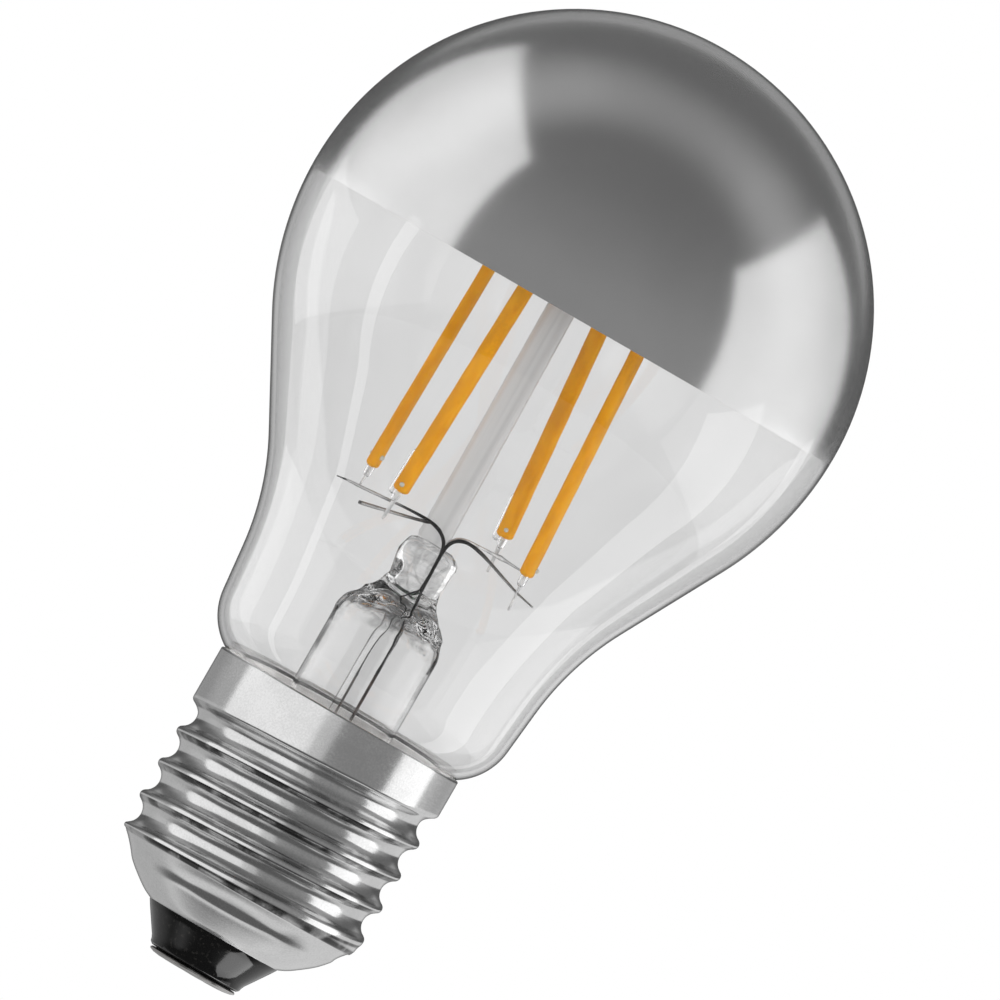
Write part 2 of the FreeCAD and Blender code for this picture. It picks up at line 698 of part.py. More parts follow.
axis_height = "(board_height - resistor_drop)"
resistor = cylinder("resistor_body", "resistor_radius", "resistor_length")
put(resistor, "resistor_across - resistor_length / 2", "resistor_depth", axis_height)
resistor.Placement.Rotation = Rotation(Vector(0, 1, 0), 90)
reach = number("resistor_length") / 2 + 1.2
low = Vector(number("resistor_across"), number("resistor_depth"), number(axis_height))
rise = Vector(0, 0, number("resistor_drop - fit"))
legs = wire("resistor_legs", [low - Vector(reach, 0, 0) + rise, low - Vector(reach, 0, 0),
                              low + Vector(reach, 0, 0), low + Vector(reach, 0, 0) + rise],
            "tail_radius", "resistor_radius / 2")
node(joined("resistor", "Part::MultiFuse", [resistor, legs]), "fuse_resistor")

# The live wire runs down through the eyelet, and the neutral wire lies against the cap.
node(cylinder("live", "wire_radius", f"{board_top} - contact_floor - fit", "0", "0",
              "contact_floor + fit"), "live_wire")
side = number(f"{root} - wire_radius - fit")
node(wire("neutral", [
    Vector(0, number("board_radius") * -0.8, number(f"{board_top} + fit")),
    Vector(0, number("board_radius") * -0.8, number(board_top) + 1.3),
    Vector(0, -side, number(board_top) + 2.2),
    Vector(0, -side, number("seal_height - fit * 4")),
], "wire_radius", "wire_radius * 2"), "neutral_wire")

doc.recompute()
bad = [item.Name for item in doc.Objects if {"Invalid", "Error"} & set(item.State)]
for item in nodes:
    if item.Shape.isNull() or not item.Shape.isValid():
        bad.append(item.Label)
if bad:
    raise RuntimeError("These objects failed: " + ", ".join(bad))

os.makedirs("parts", exist_ok=True)
for item in nodes:
    item.Shape.exportStep(f"parts/{item.Label}.step")
    box = item.Shape.BoundBox
    print(f"{item.Label:24s} {len(item.Shape.Solids)} solid  {item.Shape.Volume:9.1f} mm3"
          f"  z {box.ZMin:7.2f} to {box.ZMax:7.2f}  x {box.XMin:7.2f} to {box.XMax:7.2f}")
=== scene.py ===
# %% [markdown]
# # A silver crown bulb
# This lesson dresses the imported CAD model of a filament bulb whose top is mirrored. The frame comes
# first, because every piece has to land exactly where the CAD put it. Sizes are written in
# millimetres, as on a lamp drawing, and become metres when a mesh is made.

# %% Load the frame
import bpy
import math
from mathutils import Matrix, Vector, noise


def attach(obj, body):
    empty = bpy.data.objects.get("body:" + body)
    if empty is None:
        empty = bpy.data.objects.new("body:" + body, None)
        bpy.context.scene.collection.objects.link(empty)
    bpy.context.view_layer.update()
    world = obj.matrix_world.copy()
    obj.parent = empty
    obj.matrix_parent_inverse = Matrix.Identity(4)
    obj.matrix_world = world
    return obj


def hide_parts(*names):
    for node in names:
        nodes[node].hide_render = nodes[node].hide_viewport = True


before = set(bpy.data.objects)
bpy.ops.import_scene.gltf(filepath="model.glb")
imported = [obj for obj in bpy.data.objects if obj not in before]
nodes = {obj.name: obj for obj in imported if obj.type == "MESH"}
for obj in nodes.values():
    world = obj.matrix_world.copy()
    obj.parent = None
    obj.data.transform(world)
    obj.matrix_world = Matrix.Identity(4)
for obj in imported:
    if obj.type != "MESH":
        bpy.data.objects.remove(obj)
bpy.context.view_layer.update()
MM = 0.001

# %% [markdown]
# ## A small language for nodes
# Shader maths reads best as ordinary sums. One class wraps a node tree and puts in any node, and
# another wraps a socket, so that `wear * 0.3 + 0.2` adds the Math nodes by itself. The same two
# classes serve the Geometry Nodes below, because both kinds of tree use the same Math node.

# %% Sockets that can be summed


class Term:
    """A socket that takes part in sums; each operator adds a Math node."""

    def __init__(self, graph, socket):
        self.graph = graph
        self.socket = socket

    def math(self, operation, *others):
        values = dict(enumerate((self,) + others))
        return self.graph.add("ShaderNodeMath", {"operation": operation}, values)

    def __add__(self, other):
        return self.math("ADD", other)

    def __sub__(self, other):
        return self.math("SUBTRACT", other)

    def __rsub__(self, other):
        return self.graph.add("ShaderNodeMath", {"operation": "SUBTRACT"}, {0: other, 1: self})

    def __mul__(self, other):
        return self.math("MULTIPLY", other)

    def __truediv__(self, other):
        return self.math("DIVIDE", other)

    def __gt__(self, other):
        return self.math("GREATER_THAN", other)

    def __lt__(self, other):
        return self.math("LESS_THAN", other)

    __radd__ = __add__
    __rmul__ = __mul__


class Graph:
    """A node tree that takes nodes by their type, settings and socket values."""

    def __init__(self, tree):
        self.tree = tree

    def add(self, kind, settings=None, values=None, output=0):
        """Puts in any node and gives back one of its outputs."""
        made = self.tree.nodes.new(kind)
        for name, value in (settings or {}).items():
            setattr(made, name, value)
        for name, value in (values or {}).items():
            if isinstance(value, Term):
                self.tree.links.new(value.socket, made.inputs[name])
            else:
                made.inputs[name].default_value = value
        return Term(self, made.outputs[output])

    def beside(self, term, *names):
        """Several outputs of the node that a term comes from."""
        return [Term(self, term.socket.node.outputs[name]) for name in names]

    def find(self, kind):
        """A node that a new material or world has from the start."""
        return next(node for node in self.tree.nodes if node.type == kind)

    def smooth(self, value, low, high, out_low=0.0, out_high=1.0):
        """Goes smoothly from one value to another while the input goes from low to high."""
        return self.add("ShaderNodeMapRange", {"interpolation_type": "SMOOTHSTEP"}, {
            "Value": value, "From Min": low, "From Max": high, "To Min": out_low, "To Max": out_high})

    def blend(self, share, first, second):
        """A colour between two colours."""
        return self.add("ShaderNodeMix", {"data_type": "RGBA"}, {0: share, 6: first, 7: second}, 2)


# %% [markdown]
# ## Finishes
# Every finish is one Principled shader. What is the same all over a piece, such as the metal's
# sheen or the glass's bending of light, is set on the shader's own socket. What varies over the
# surface, such as grain, tarnish or haze, is a map made from noise on Object coordinates, so a
# pattern has a real size in metres and stays put whatever the camera does.

# %% The finish maker


def finish(name, maps, **constants):
    """A material whose maps(graph, place) gives {socket: term}; bump is (height, strength, depth)."""
    material = bpy.data.materials.new(name)
    material.use_nodes = True
    graph = Graph(material.node_tree)
    shader = graph.find("BSDF_PRINCIPLED")
    for socket, value in constants.items():
        shader.inputs[socket.replace("_", " ")].default_value = value
    place = graph.add("ShaderNodeTexCoord", output="Object")
    for socket, term in maps(graph, place).items():
        if socket == "bump":
            height, strength, depth = term
            term = graph.add("ShaderNodeBump", None, {
                "Height": height, "Strength": strength, "Distance": depth})
            socket = "Normal"
        graph.tree.links.new(term.socket, shader.inputs[socket])
    return material


def grain(graph, place, scale, detail=3.0, stretch=(1, 1, 1)):
    """Noise whose features are about 1 / scale metres across, drawn out along an axis if wanted."""
    vector = graph.add("ShaderNodeVectorMath", {"operation": "MULTIPLY"}, {0: place, 1: stretch})
    return graph.add("ShaderNodeTexNoise", None, {
        "Vector": vector, "Scale": scale, "Detail": detail, "Roughness": 0.55})


def parts_of(graph, place):
    """The three coordinates of a place, each as a term."""
    return graph.beside(graph.add("ShaderNodeSeparateXYZ", None, {"Vector": place}), *"XYZ")


def off_axis(graph, place):
    """The distance of a place from the Z axis, and its height."""
    across, depth, up = parts_of(graph, place)
    return (across * across + depth * depth).math("SQRT"), up


def grey(level, warmth=0.0):
    """A near-neutral colour; warmth lifts the red and lowers the blue."""
    return (level + warmth, level, level - warmth, 1)


# %% [markdown]
# ### Glass
# Blown glass is smooth but not flat: its surface swims a little, which is what makes reflections
# in it waver. The bump is therefore broad and very shallow. Grey in the colour is painted shade: it
# darkens the outline at glancing angles and draws dark lines along the folds of the stem. Caustics
# could carry the lamps' light to the filaments, but they are slow and noisy, so for shadow rays a
# clear shader takes over.

# %% Glass
NOWHERE = 1.0  # a height in metres that no piece reaches


def let_lamps_through(material, tint):
    """For shadow rays the material turns transparent, so that lamps light what is inside."""
    graph = Graph(material.node_tree)
    output = graph.find("OUTPUT_MATERIAL")
    shader = graph.find("BSDF_PRINCIPLED")
    clear = graph.add("ShaderNodeBsdfTransparent", None, {"Color": tint})
    shadow = graph.add("ShaderNodeLightPath", output="Is Shadow Ray")
    mixed = graph.add("ShaderNodeMixShader", None, {
        0: shadow, 1: Term(graph, shader.outputs[0]), 2: clear})
    graph.tree.links.new(mixed.socket, output.inputs["Surface"])
    return material


def swimming(depth, scale, frost_from=NOWHERE, edge_shade=0.06, fold_shade_from=NOWHERE):
    """Maps of clear glass, frosted above one height; the outline and, above another height, fold lines are
    painted shade.
    """
    def maps(graph, place):
        up = parts_of(graph, place)[2]
        broad = grain(graph, place, scale, 1.0, (1, 1, 0.5))
        tone = grain(graph, place, scale * 2.5, 2.0)
        edge = graph.add("ShaderNodeLayerWeight", output="Facing")
        folds = graph.add("ShaderNodeTexNoise", None, {
            "Vector": place, "Scale": 240, "Detail": 3.0, "Roughness": 0.6, "Distortion": 0.9})
        # Dark lines along the folds are painted shade, standing in for the light that the folds bend away.
        fold_shade = graph.smooth((folds - 0.5).math("ABSOLUTE"), 0.0, 0.11, 1.0, 0.0)
        fold_shade = fold_shade * graph.smooth(up, fold_shade_from, fold_shade_from + 0.0015) * 0.45
        # The outline is darkened at glancing angles as painted shade.
        outline_shade = graph.smooth(edge, 0.84, 0.95) * 0.5
        shade = tone * 0.03 + edge * edge_shade + fold_shade + outline_shade
        return {
            "Base Color": graph.blend(shade, grey(1.0), grey(0.0)),
            "Roughness": (up > frost_from) * 0.1,
            "bump": (broad, 1.0, depth),
        }
    return maps


clear_glass = let_lamps_through(
    finish("clear_glass", swimming(0.00006, 60, 0.075), Transmission_Weight=1.0, IOR=1.5,
           Specular_IOR_Level=0.75),
    grey(0.93))
stem_glass = let_lamps_through(
    finish("stem_glass", swimming(0.00004, 260, NOWHERE, 0.05, 0.0395), Transmission_Weight=1.0, IOR=1.52),
    grey(0.9))


def streaky_maps(graph, place):
    """A drawn rod, with streaks along its length."""
    streak = grain(graph, place, 900, 3.0, (1, 1, 0.02))
    cloud = grain(graph, place, 250, 2.0)
    return {
        "Base Color": graph.blend(graph.smooth(streak, 0.35, 0.62), grey(0.6), grey(0.76)),
        "Roughness": cloud * 0.1 + 0.3,
        "bump": (streak, 0.25, 0.00004),
    }


drawn_glass = let_lamps_through(
    finish("drawn_glass", streaky_maps, Transmission_Weight=0.7, IOR=1.5), grey(0.85))

# %% [markdown]
# ### The mirror coat
# The coat on the crown is vapour-deposited metal. It reflects softly, with a faint mottling where
# the deposit is thinner. A perfect mirror would give every lamp a hard edge.

# %% Mirror


def mirror_maps(graph, place):
    cloud = graph.smooth(grain(graph, place, 45, 3.0), 0.35, 0.68)
    speck = graph.smooth(grain(graph, place, 1500, 2.0), 0.35, 0.75)
    return {
        "Base Color": graph.blend(cloud, grey(0.78), grey(0.82)),
        "Roughness": cloud * 0.02 + speck * 0.01 + 0.12,
        "bump": (cloud, 0.1, 0.00002),
    }


mirror_coat = finish("mirror_coat", mirror_maps, Metallic=1.0)

# %% [markdown]
# ### Metals
# The cap is thin aluminium sheet rolled between dies. Rolling leaves fine scratches round the cap
# and a satin grain. Both flanks of each crest are darkened as painted shade, for the dark room that
# they reflect above and below; radius and slope pick them out. The wires are nickel, darkened near
# the axis, where the glassworker's flame met them.

# %% Metals


def cap_maps(graph, place):
    radius, up = off_axis(graph, place)
    rolled = grain(graph, place, 320, 4.0, (0.12, 0.12, 9))
    fine = grain(graph, place, 5200, 3.0)
    cloud = grain(graph, place, 190, 3.0)
    torn = graph.smooth(grain(graph, place, 300, 5.0), 0.38, 0.58)
    facing = graph.add("ShaderNodeNewGeometry", output="Normal")
    slope = parts_of(graph, facing)[2]
    near_crest = graph.smooth(radius, 0.0125, 0.01275)
    # Both flanks of each crest are darkened as painted shade, for the dark room that they reflect above
    # and below.
    shade_below_crest = graph.smooth(slope, -0.24, -0.38) * near_crest
    shade_above_crest = graph.smooth(slope, 0.42, 0.6) * near_crest
    on_thread = graph.smooth(up, 0.0245, 0.0235)
    flank_shade = (shade_below_crest * 0.95 + shade_above_crest * 0.6) * (torn * 0.6 + 0.4) * on_thread
    tone = graph.smooth(fine * 0.5 + cloud * 0.5, 0.36, 0.64)
    metal = graph.blend(tone, grey(0.70), grey(0.82))
    return {
        "Base Color": graph.blend(flank_shade, metal, grey(0.03)),
        "Roughness": fine * 0.08 + rolled * 0.05 + flank_shade * 0.1 + 0.11,
        "bump": (fine * 0.7 + rolled * 0.3, 0.16, 0.00002),
    }


def wire_maps(low, high, spot):
    """Drawn metal in two tones, with spots about 1 / spot metres across."""
    def maps(graph, place):
        cloud = graph.smooth(grain(graph, place, spot, 3.0), 0.4, 0.62)
        fine = grain(graph, place, 5200, 2.0, (1, 1, 0.2))
        return {
            "Base Color": graph.blend(cloud, low, high),
            "Roughness": fine * 0.2 + cloud * 0.1 + 0.22,
            "bump": (fine, 0.3, 0.00001),
        }
    return maps


def lead_maps(graph, place):
    """Nickel that is burnt near the axis and at its tips, and clean in between."""
    radius = off_axis(graph, place)[0]
    cloud = grain(graph, place, 700, 3.0)
    clean = graph.smooth(radius + cloud * 0.002, 0.0045, 0.0095)
    tip = graph.smooth(radius, 0.0121, 0.0126)
    burnt = graph.blend(cloud, grey(0.01), grey(0.04))
    return {
        "Base Color": graph.blend(clean * (1 - tip), burnt, grey(0.55, 0.004)),
        "Roughness": cloud * 0.2 + 0.22,
        "bump": (cloud, 0.3, 0.00002),
    }


cap_metal = finish("cap_metal", cap_maps, Metallic=1.0)
dark_nickel = finish("dark_nickel", lead_maps, Metallic=1.0)
bright_nickel = finish("bright_nickel", wire_maps(grey(0.55), grey(0.85, 0.01), 900), Metallic=1.0)
copper_wire = finish("copper_wire", wire_maps((0.30, 0.13, 0.07, 1), (0.62, 0.33, 0.20, 1), 600),
                     Metallic=1.0)
dark_copper = finish("dark_copper", wire_maps((0.05, 0.035, 0.03, 1), (0.13, 0.085, 0.07, 1), 600),
                     Metallic=1.0)
tab_metal = finish("tab_metal", wire_maps(grey(0.62), grey(0.86, 0.01), 1200), Metallic=0.35)
tinned = finish("tinned", wire_maps(grey(0.38, 0.01), grey(0.62, 0.01), 350), Metallic=1.0)

# %% [markdown]
# ### Filament coat, insulator and the parts inside the cap
# Each filament is a row of tiny light sources under silicone that is loaded with orange phosphor.
# The coat lets a little light in, so it has some subsurface scattering. The insulator is black
# glass, poured while hot, which leaves flow marks under a high gloss. The parts inside the cap
# differ only in tone, grain and roughness, so one function makes the maps of them all.

# %% Coats and mouldings


def coat_maps(graph, place):
    lumps = grain(graph, place, 700, 2.0, (1, 1, 0.35))
    fine = grain(graph, place, 3800, 3.0)
    tone = graph.smooth(lumps * 0.7 + fine * 0.3, 0.36, 0.64)
    return {
        "Base Color": graph.blend(tone, (0.80, 0.33, 0.0, 1), (0.95, 0.42, 0.002, 1)),
        "Roughness": fine * 0.25 + 0.33,
        "bump": (lumps * 0.7 + fine * 0.3, 0.4, 0.00008),
    }


def poured_maps(graph, place):
    flow = grain(graph, place, 420, 4.0, (1, 1, 0.3))
    speck = graph.smooth(grain(graph, place, 2600, 2.0), 0.55, 0.75)
    return {
        "Base Color": graph.blend(speck, grey(0.002), grey(0.012, 0.001)),
        "Roughness": flow * 0.08 + speck * 0.1 + 0.05,
        "bump": (flow, 0.12, 0.00004),
    }


def moulded_maps(low, high, scale, rough):
    """Two tones in patches about 1 / scale metres across, over a fine matt grain."""
    def maps(graph, place):
        cloud = graph.smooth(grain(graph, place, scale, 3.0), 0.35, 0.65)
        fine = grain(graph, place, scale * 12, 3.0)
        return {
            "Base Color": graph.blend(cloud, low, high),
            "Roughness": fine * 0.2 + rough,
            "bump": (fine, 0.4, 0.00004),
        }
    return maps


def silicone_maps(graph, place):
    cloud = grain(graph, place, 900, 3.0)
    return {
        "Base Color": graph.blend(cloud, grey(0.82), grey(0.95)),
        "Roughness": cloud * 0.2 + 0.15,
        "bump": (cloud, 0.5, 0.00005),
    }


clear_silicone = let_lamps_through(
    finish("clear_silicone", silicone_maps, Transmission_Weight=0.92, IOR=1.41), grey(0.95))
pale_chip = finish("pale_chip", moulded_maps((0.62, 0.6, 0.5, 1), (0.8, 0.78, 0.7, 1), 1500, 0.15))
phosphor = finish("phosphor", coat_maps, Subsurface_Weight=0.25, Subsurface_Scale=0.0006,
                  Specular_IOR_Level=0.15)
black_glass = finish("black_glass", poured_maps, IOR=1.55, Specular_IOR_Level=0.35)
cement_mix = finish("cement_mix", moulded_maps(grey(0.70, 0.01), grey(0.84, 0.01), 300, 0.6))
board_green = finish("board_green", moulded_maps(
    (0.02, 0.12, 0.05, 1), (0.04, 0.19, 0.08, 1), 250, 0.25))
black_resin = finish("black_resin", moulded_maps(grey(0.012), grey(0.03), 800, 0.4))
ferrite_grey = finish("ferrite_grey", moulded_maps(grey(0.03), grey(0.07), 700, 0.5))
can_sleeve = finish("can_sleeve", moulded_maps(grey(0.015), grey(0.03), 500, 0.2))
resistor_green = finish("resistor_green", moulded_maps(
    (0.07, 0.18, 0.14, 1), (0.13, 0.27, 0.21, 1), 600, 0.25))
wire_red = finish("wire_red", moulded_maps((0.45, 0.02, 0.015, 1), (0.6, 0.04, 0.03, 1), 600, 0.3))
print("finishes", len(bpy.data.materials))

# %% [markdown]
# ## Turned pieces
# Glass and cap are bodies of revolution, so each is drawn as half a section and turned about Z. The
# Screw modifier would double the vertices on the axis. Here such a point stays a single vertex,
# which closes the pole. The section's winding decides which way the faces point, so the code
# measures its area and turns it round if needed.

# %% Turning a section
ON_AXIS = 1e-6


def arc(centre, radius, first, last, steps):
    """Points on an arc; angles in degrees, from the +R direction towards +Z."""
    angles = [math.radians(first + (last - first) * i / steps) for i in range(steps + 1)]
    return [(centre[0] + radius * math.cos(a), centre[1] + radius * math.sin(a)) for a in angles]


def straight(start, end, steps):
    """Points from start to end, without the start."""
    return [(start[0] + (end[0] - start[0]) * i / steps, start[1] + (end[1] - start[1]) * i / steps)
            for i in range(1, steps + 1)]


def smooth_through(points, steps):
    """More points along a smooth curve that passes through the given ones."""
    padded = [Vector(p) for p in (points[0], *points, points[-1])]
    curve = []
    for a, b, c, d in zip(padded, padded[1:], padded[2:], padded[3:]):
        for i in range(steps):
            t = i / steps
            pull = b * 2 + (c - a) * t + (a * 2 - b * 5 + c * 4 - d) * t * t
            curve.append(tuple((pull + (b * 3 - a - c * 3 + d) * t ** 3) / 2))
    return curve + [tuple(points[-1])]


def placed(name, data):
    """An object for a mesh, curve, lamp or camera, linked to the scene."""
    made = bpy.data.objects.new(name, data)
    bpy.context.scene.collection.objects.link(made)
    return made


def mesh_piece(name, points, faces, material, sharp=40):
    """A mesh object from points in millimetres."""
    mesh = bpy.data.meshes.new(name)
    mesh.from_pydata([Vector(p) * MM for p in points], [], faces)
    mesh.polygons.foreach_set("use_smooth", [True] * len(mesh.polygons))
    mesh.set_sharp_from_angle(angle=math.radians(sharp))
    mesh.materials.append(material)
    return placed(name, mesh)


def skin(rings, around):
    """Faces between neighbouring rings of point numbers; a ring of one point closes an end."""
    faces = []
    for low, high in zip(rings, rings[1:]):
        for i in range(around):
            j = (i + 1) % around
            loop = [low[i % len(low)], low[j % len(low)], high[j % len(high)], high[i % len(high)]]
            loop = list(dict.fromkeys(loop))
            if len(loop) > 2:
                faces.append(loop)
    return faces


def turned(name, section, material, around, sharp=40, shape=None):
    """Turns a section of (radius, height) about Z; shape(point) may move each point."""
    pairs = list(zip(section, section[1:] + section[:1]))
    if sum(a[0] * b[1] - b[0] * a[1] for a, b in pairs) < 0:
        section = section[::-1]
    points = []
    rings = []
    for radius, height in section:
        count = around if radius > ON_AXIS else 1
        rings.append([len(points) + i for i in range(count)])
        for i in range(count):
            angle = 2 * math.pi * i / around
            point = Vector((radius * math.cos(angle), radius * math.sin(angle), height))
            points.append(shape(point) if shape else point)
    piece = mesh_piece(name, points, skin(rings + rings[:1], around), material, sharp)
    print(name, len(piece.data.polygons), "faces")
    return piece


def stands_for(piece, slot, *replaced):
    """The piece rides on the one body and hides the CAD nodes that it replaces; the slot is not used."""
    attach(piece, "root")
    if replaced:
        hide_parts(*replaced)


# %% [markdown]
# ### The glass bulb
# The outline was fitted to the photo: a sphere above the widest line, a slightly larger curve
# below it, a straight flank, a hollow curve into the neck and a tight shoulder into the cap. The
# wall is an offset of the same curves, 0.6 mm inside them, which is more exact than a modifier.

# %% Bulb section
WALL = 0.6
GLASS_RADIUS = 29.5
EQUATOR = 75.8  # height of the widest line
SEAL = 20.0  # height of the glass's lower end, inside the cap
FLANK = 28.42  # slope of the straight flank, in degrees from upright
NECK = 5.92  # slope of the neck


def bulb_side(inset):
    """The glass from the crown down to the seal, a distance inside its outside."""
    slope = math.radians(FLANK)
    flank_top = (25.64 - inset * math.cos(slope), 60.56 + inset * math.sin(slope))
    side = arc((0, EQUATOR), GLASS_RADIUS - inset, 90, 0, 40)
    side += arc((-2.52, EQUATOR), 32.02 - inset, 0, -FLANK, 16)[1:]
    hollow = arc((46.05, 36.17), 29.56 + inset, 180 - FLANK, 180 - NECK, 14)
    side += straight(flank_top, hollow[0], 5) + hollow[1:]
    shoulder = arc((9.7, 35.2), 6.5 - inset, -NECK, -75, 18)
    side += straight(hollow[-1], shoulder[0], 3) + shoulder[1:]
    side += straight(shoulder[-1], (shoulder[-1][0], SEAL), 6)
    side[0] = (0, side[0][1])
    return side


outside = bulb_side(0)
inside = bulb_side(WALL)
glass = turned("bulb_glass", outside + inside[::-1], clear_glass, 192)
stands_for(glass, "clear_glass", "glass_bulb")
print("glass", 2 * GLASS_RADIUS, "mm across and", EQUATOR + GLASS_RADIUS, "mm high")

# %% [markdown]
# ### The mirror on the crown
# The coat lies on the inner face of the glass, from the crown to just below the widest line, and
# ends in a crisp edge. A mask on the glass would soften that edge, so the coat is a very thin
# closed film of its own.

# %% Mirror film
COAT_THICKNESS = 0.02
COAT_EDGE = 75.0  # height at which the coat ends
COAT_RADIUS = GLASS_RADIUS - WALL - 0.02
edge_angle = math.degrees(math.asin((COAT_EDGE - EQUATOR) / COAT_RADIUS))
film = arc((0, EQUATOR), COAT_RADIUS, 90, edge_angle, 48)
film += arc((0, EQUATOR), COAT_RADIUS - COAT_THICKNESS, edge_angle, 90, 48)
film[0] = (0, film[0][1])
film[-1] = (0, film[-1][1])
crown = turned("crown_coat", film, mirror_coat, 192)
stands_for(crown, "mirror_coat", "crown_mirror")

# %% [markdown]
# ## The rolled cap
# The thread is pressed into sheet, so the same wave shows outside and inside. Rather than cut a
# groove, the plain sheet is turned first and every point is then moved along its radius by a rule:
# how far it lies from the helix decides how deep it sinks. That rule is a Geometry Nodes tree with
# its sizes as named inputs, so another thread size is a matter of other numbers.

# %% The thread rule
CREST = 13.22
COLLAR = 13.43
PITCH = 3.629


def new_tree(name, numbers):
    """A Geometry Nodes tree with named inputs; gives its graph and the inputs as terms."""
    tree = bpy.data.node_groups.new(name, "GeometryNodeTree")
    face = tree.interface
    face.new_socket("Geometry", in_out="INPUT", socket_type="NodeSocketGeometry")
    for label, value in numbers.items():
        kind = "NodeSocketInt" if isinstance(value, int) else "NodeSocketFloat"
        face.new_socket(label, in_out="INPUT", socket_type=kind).default_value = value
    face.new_socket("Metal", in_out="INPUT", socket_type="NodeSocketMaterial")
    face.new_socket("Geometry", in_out="OUTPUT", socket_type="NodeSocketGeometry")
    graph = Graph(tree)
    inputs = tree.nodes.new("NodeGroupInput")
    return graph, {s.name: Term(graph, s) for s in inputs.outputs if s.name}


def close_tree(graph, geometry, metal):
    """The end of each tree: instances become real mesh, and the mesh gets its metal."""
    whole = graph.add("GeometryNodeRealizeInstances", None, {"Geometry": geometry})
    coated = graph.add("GeometryNodeSetMaterial", None, {"Geometry": whole, "Material": metal})
    output = graph.tree.nodes.new("NodeGroupOutput")
    graph.tree.links.new(coated.socket, output.inputs[0])
    print(graph.tree.name, len(graph.tree.nodes), "nodes")
    return graph.tree


def thread_tree():
    """Geometry Nodes: sinks a round wave along a right-handed helix into a turned sheet."""
    graph, given = new_tree("rolled_thread", {
        "Pitch": PITCH, "Depth": 1.1, "Crest curve": 0.55, "Start height": 24.0, "Turns": 3.5,
        "Run out": 0.32, "Shallow end": 0.3, "Collar step": COLLAR - CREST})
    pitch, depth, lip = given["Pitch"], given["Depth"], given["Crest curve"]
    place = graph.add("GeometryNodeInputPosition")
    across, back, up = parts_of(graph, place)
    height = up / MM
    radius = (across * across + back * back).math("SQRT") / MM
    # The angle as a share of a turn, from 0 at the right to 1, counter-clockwise from above.
    around = (back.math("ARCTAN2", across) / (2 * math.pi)).math("FRACT")
    lap = (height - given["Start height"]) / pitch - around
    nearest = lap.math("ROUND").math("MINIMUM", 0.0)
    along = nearest + around
    off = ((lap - nearest) * pitch).math("ABSOLUTE").math("MINIMUM", pitch * 0.5)
    # Two arcs that touch: a hollow one round the root and a tight one over the crest.
    both = (pitch * pitch * 0.25 + depth * depth) / (depth * 2)
    hollow = both - lip
    meeting = hollow / both * pitch * 0.5
    valley = depth - hollow + (hollow * hollow - off * off).math("MAXIMUM", 0.0).math("SQRT")
    beyond = pitch * 0.5 - off
    ridge = lip - (lip * lip - beyond * beyond).math("MAXIMUM", 0.0).math("SQRT")
    inner = off < meeting
    sunk = valley * inner + ridge * (1 - inner)
    fade_top = graph.smooth(along, 0.0, given["Run out"], 1.0, 0.0)
    last = 0 - given["Turns"]
    fade_foot = graph.smooth(along, last - given["Run out"], last, given["Shallow end"], 1.0)
    fade_foot = fade_foot * graph.smooth(along, last - 1.1, last - 0.8)
    sunk = sunk * fade_top * fade_foot
    # The collar reaches down to the topmost groove and follows it, also where that groove dies away.
    above = graph.smooth(lap, 0.12, 0.42)
    dying = graph.smooth(around, 0.0, given["Run out"], 1.0, 0.0)
    over_last = graph.smooth(lap, -0.88, -0.58) * (1 - dying)
    proud = above.math("MAXIMUM", over_last) * given["Collar step"]
    threaded = graph.smooth(radius, CREST - 2.6, CREST - 1.6)
    shift = (proud - sunk) * threaded * MM
    outward = graph.add("ShaderNodeCombineXYZ", None, {"X": across, "Y": back, "Z": 0.0})
    outward = graph.add("ShaderNodeVectorMath", {"operation": "NORMALIZE"}, {0: outward})
    move = graph.add("ShaderNodeVectorMath", {"operation": "SCALE"}, {0: outward, "Scale": shift})
    moved = graph.add("GeometryNodeSetPosition", None, {"Geometry": given["Geometry"], "Offset": move})
    return close_tree(graph, moved, given["Metal"])


def apply_tree(piece, tree, **inputs):
    """Runs a Geometry Nodes tree on a piece and keeps the result as its plain mesh."""
    modifier = piece.modifiers.new(tree.name, "NODES")
    modifier.node_group = tree
    for item in tree.interface.items_tree:
        wanted = item.name.replace(" ", "_")
        if item.in_out == "INPUT" and wanted in inputs:
            modifier[item.identifier] = inputs[wanted]
    depsgraph = bpy.context.evaluated_depsgraph_get()
    mesh = bpy.data.meshes.new_from_object(piece.evaluated_get(depsgraph), depsgraph=depsgraph)
    piece.modifiers.remove(modifier)
    if piece.type == "MESH":
        piece.data = mesh
        return piece
    made = placed(piece.name + "_mesh", mesh)
    bpy.data.objects.remove(piece)
    return made


# %% [markdown]
# The plain sheet: a collar that ends in a rounded lip, the cylinder that takes the thread, and the
# curved end that grips the insulator. Rows lie 0.15 mm apart, fine enough for the tight crests.

# %% The sheet of the cap
SHEET = 0.3
LIP_TOP = 29.64
LIP_ROUNDING = 0.1
BEND_FROM = 10.2  # height at which the sheet starts to bend in
BEND = 1.1  # radius of that bend


def cap_side(inset):
    """The cap from its upper lip down to the mouth, a distance inside the outside."""
    side = [(CREST - inset, LIP_TOP - LIP_ROUNDING)]
    side += straight(side[-1], (CREST - inset, BEND_FROM), 130)
    side += arc((CREST - BEND, BEND_FROM), BEND - inset, 0, -40, 5)[1:]
    dome = [(12.84, 9.49), (12.2, 8.81), (11.35, 7.82), (10.47, 6.86), (9.3, 5.9), (8.2, 5.12),
            (7.3, 4.66)]
    side += [(r - inset * 0.75, z + inset * 0.75) for r, z in smooth_through(dome, 8)[1:]]
    return side


